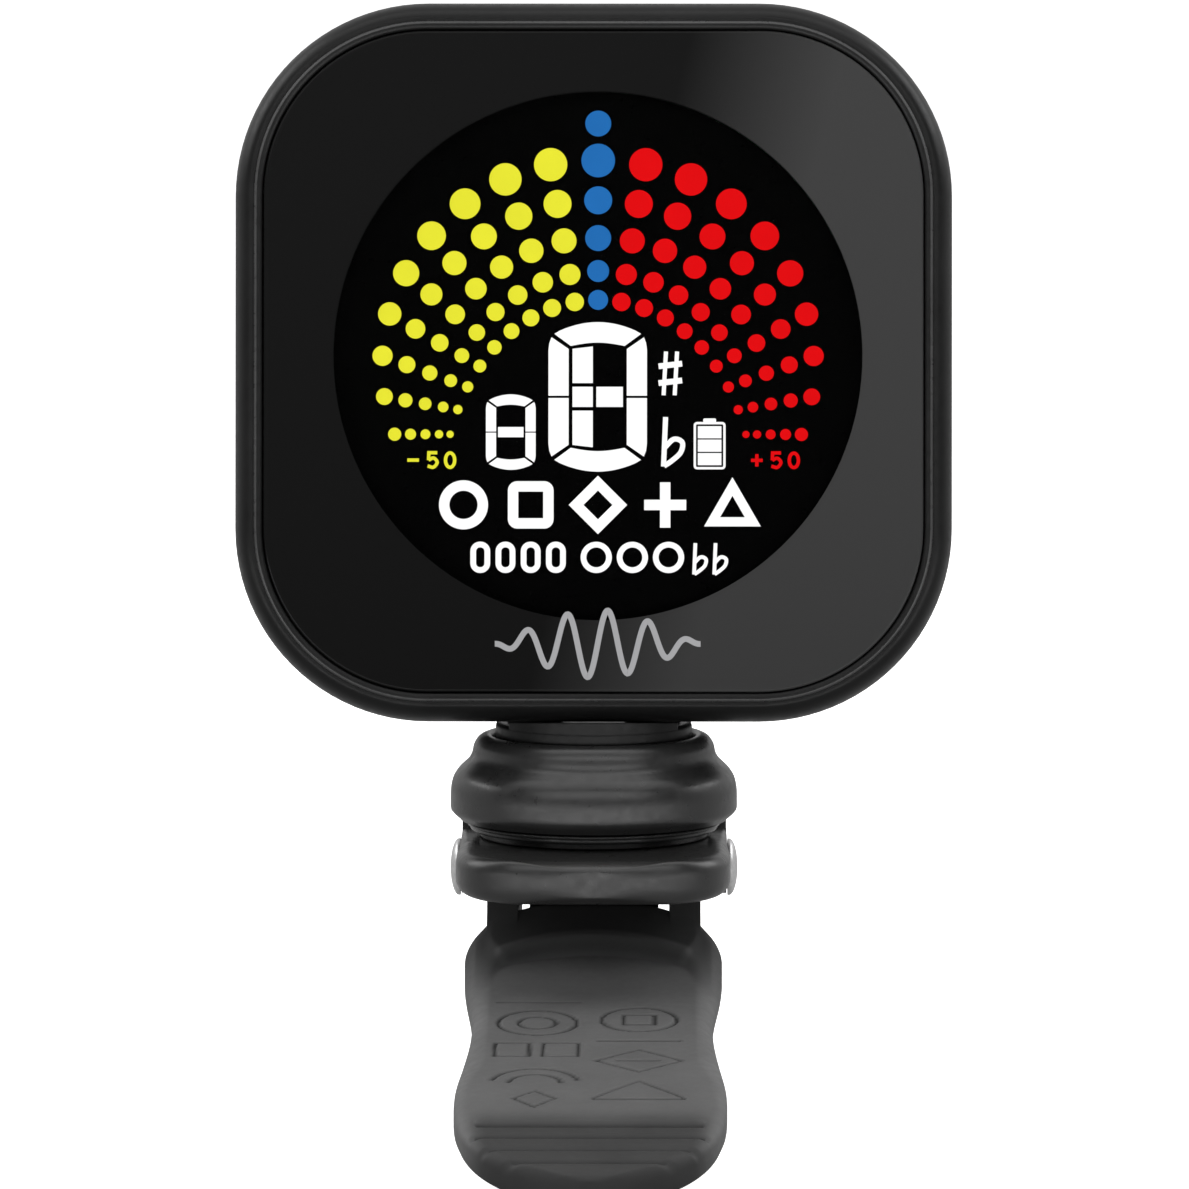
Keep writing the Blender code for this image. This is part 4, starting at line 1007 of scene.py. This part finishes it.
def make_pads():
    """Rubber jaw pads with softened edges and shallow cross grooves in the gripping face."""
    upper_face = (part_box("upper_jaw_pad")[0].z - deck_z) / MM
    lower_face = (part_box("lower_jaw_pad")[1].z - deck_z) / MM
    pads = (("upper", upper_face, 1, "clip_body"), ("lower", lower_face, -1, "lower_lever_body"))
    for name, face, away, body in pads:
        rings = []
        for inset, depth in ((0.25, 0.0), (0.08, 0.06), (0.0, 0.2), (0.0, 0.93)):
            outline = rounded_rectangle(5.6 - inset, 5.5 - inset, 1.6 - inset, 8)
            rings.append([(x, JAW_Y + y, face + away * depth) for x, y in outline])
        pad = skin(rings)
        grooves = []
        for step in range(-2, 3):
            middle = JAW_Y + 1.9 * step
            low, high = sorted((face - away * 0.5, face + away * 0.18))
            grooves.append(block((-4.6, middle - 0.18, low), (4.6, middle + 0.18, high)))
        pad = combined("DIFFERENCE", pad, *grooves)
        piece(f"{name}_grip_pad", pad, DECK, body, [RUBBER], [f"{name}_jaw_pad"])


def make_pin_ends():
    """The pivot pin with its domed head, and the domed cap on the other end."""
    head_r, head_t, shank = 1.72, 0.62, 0.9
    under = EAR_WALL_OUT + 0.06
    dome = arc((0, 0.1), (head_r, head_t - 0.1), 90, 0, 14)
    dome[0] = (0, head_t)
    pin = lathe(dome + [(head_r, 0), (shank, 0), (shank, -2 * under + 0.4), (0, -2 * under + 0.4)], 64,
                place=along((-1, 0, 0), (-under, PIVOT_Y, PIVOT_Z)))
    piece("hinge_pin", pin, DECK, "clip_body", [PALE_STEEL], ["pivot_pin"])
    cap = lathe(dome + [(head_r, 0), (0, 0)], 64, place=along((1, 0, 0), (under, PIVOT_Y, PIVOT_Z)))
    piece("hinge_pin_cap", cap, DECK, "clip_body", [PALE_STEEL], ["pivot_pin_cap"])


def make_spring():
    """A coil round the pin whose front leg presses on the moving lever."""
    wire_r, coil_r, half, turns = 0.38, 1.47, 3.2, 5
    start, end = 120, -90 - turns * 360
    count = 240
    points = []
    for i in range(count + 1):
        angle = math.radians(start + (end - start) * i / count)
        points.append((-half + 2 * half * i / count, PIVOT_Y + coil_r * math.cos(angle),
                       PIVOT_Z + coil_r * math.sin(angle)))
    a = math.radians(start)
    points.insert(0, (points[0][0], points[0][1] - 3.0 * math.sin(a), points[0][2] + 3.0 * math.cos(a)))
    points.append((points[-1][0], points[-1][1] - 2.0, points[-1][2]))
    rings = []
    for i, point in enumerate(points):
        way = Vector(points[min(i + 1, len(points) - 1)]) - Vector(points[max(i - 1, 0)])
        place = along(way.normalized(), point)
        rings.append([tuple(place @ Vector((x, y, 0))) for x, y in circle((0, 0), wire_r, 12)])
    bm = skin(rings)
    piece("hinge_spring", bm, DECK, "clip_body", [SPRING_STEEL], ["torsion_spring"])


# ---- CAD nodes that stay

def dress_frame():
    """Gives each CAD node that still shows the look of its material slot."""
    for part in frame["record"]["subparts"]:
        obj, slot = frame["nodes"][part["node"]], part["material_slot"]
        if obj.hide_render:
            continue
        obj.data.materials.clear()
        obj.data.materials.append(SLOT_LOOKS[slot])
        for face in obj.data.polygons:
            face.material_index = 0


# ---- stage

# Metres, and watts for the lights: name, place, point faced, size and power.
FLOOR_SIZE, FLOOR_GAP = 6.0, 0.0004
NECK_FOOT = (0, swivel.y, 0.01)
SOFT_BOXES = (
    ("front_low_soft_box", (0, -0.45, CAD_LOW + 0.002), (0, -0.45, 1.0), (0.9, 0.7), 7.0),
    ("front_soft_box", (0, -0.55, 0.36), NECK_FOOT, (1.2, 0.32), 2.4),
    ("top_soft_box", (0, -0.1, 0.6), NECK_FOOT, (0.9, 0.5), 2.4),
    ("left_soft_box", (-0.4, 0.12, 0.3), NECK_FOOT, (0.3, 0.3), 0.8),
    ("right_soft_box", (0.4, 0.12, 0.3), NECK_FOOT, (0.3, 0.3), 0.8),
)


def make_floor():
    """White to the camera, and grey to every other ray."""
    bpy.ops.mesh.primitive_plane_add(size=FLOOR_SIZE, location=(0, 0, CAD_LOW - FLOOR_GAP))
    floor = bpy.context.object
    floor.name = "floor"
    made = Surface("pale_floor").set(Roughness=0.9, Specular_IOR_Level=0.1, Emission_Color=(1, 1, 1, 1))
    seen = made.node("LightPath").outputs["Is Camera Ray"]
    made.drive("Base Color", made.ramp(made.noise(40.0), 0.86, 0.9))
    for value, unseen, camera in (("Base Color", 0.3, None), ("Emission Strength", 0.12, 0.85)):
        choice = made.node("Mix")
        made.links.new(seen, choice.inputs["Factor"])
        choice.inputs["A"].default_value = unseen
        if camera is None:
            made.links.new(made.shader.inputs[value].links[0].from_socket, choice.inputs["B"])
        else:
            choice.inputs["B"].default_value = camera
        made.drive(value, choice.outputs["Result"])
    floor.data.materials.append(made.material)


def make_light(name, place, aim, size, power):
    """A rectangular soft box facing a point, metres and watts."""
    lamp = bpy.data.lights.new(name, "AREA")
    lamp.shape = "RECTANGLE"
    lamp.size, lamp.size_y = size
    lamp.energy = power
    obj = bpy.data.objects.new(name, lamp)
    bpy.context.scene.collection.objects.link(obj)
    obj.location = place
    obj.rotation_euler = (Vector(aim) - Vector(place)).to_track_quat("-Z", "Y").to_euler()


def make_world():
    """White to the camera. To every other ray, dim in front of the object and brighter towards its back."""
    world = bpy.data.worlds.new("studio")
    bpy.context.scene.world = world
    world.use_nodes = True
    nodes, links = world.node_tree.nodes, world.node_tree.links
    sky = nodes["Background"]
    place = nodes.new("ShaderNodeTexCoord")
    split = nodes.new("ShaderNodeSeparateXYZ")
    links.new(place.outputs["Generated"], split.inputs["Vector"])
    front = nodes.new("ShaderNodeMapRange")
    front.interpolation_type = "SMOOTHSTEP"
    fill(front, From_Min=-0.5, From_Max=0.4, To_Min=0.05, To_Max=0.6)
    links.new(split.outputs["Y"], front.inputs["Value"])
    seen = nodes.new("ShaderNodeLightPath")
    mix = nodes.new("ShaderNodeMix")
    links.new(seen.outputs["Is Camera Ray"], mix.inputs["Factor"])
    links.new(front.outputs["Result"], mix.inputs["A"])
    mix.inputs["B"].default_value = 1.0
    links.new(mix.outputs["Result"], sky.inputs["Strength"])
    sky.inputs["Color"].default_value = (1, 1, 1, 1)


def make_camera():
    """A long lens in front of the display, slightly above it."""
    elevation, azimuth, distance, covered = math.radians(6.0), math.radians(0.4), 0.48, 0.07134
    aim = Vector((0.04 * MM, swivel.y, deck_z + 14.6 * MM))
    away = Vector((math.sin(azimuth) * math.cos(elevation), -math.cos(azimuth) * math.cos(elevation),
                   math.sin(elevation)))
    data = bpy.data.cameras.new("camera")
    data.sensor_width = 36.0
    data.lens = data.sensor_width * distance / covered
    data.clip_start = 0.01
    camera = bpy.data.objects.new("camera", data)
    bpy.context.scene.collection.objects.link(camera)
    camera.location = aim + away * distance
    camera.rotation_euler = (-away).to_track_quat("-Z", "Y").to_euler()
    bpy.context.scene.camera = camera


# ---- build

make_bezel()
make_lens()
make_rear_shell()
make_button_caps()
make_dial()
make_symbols()
make_wave_print()
make_turret()
make_socket()
make_base_ring()
make_upper_lever()
make_lower_lever()
make_pads()
make_pin_ends()
make_spring()
dress_frame()

make_floor()
make_world()
for soft_box in SOFT_BOXES:
    make_light(*soft_box)
make_camera()
bpy.context.scene.view_settings.view_transform = "Standard"
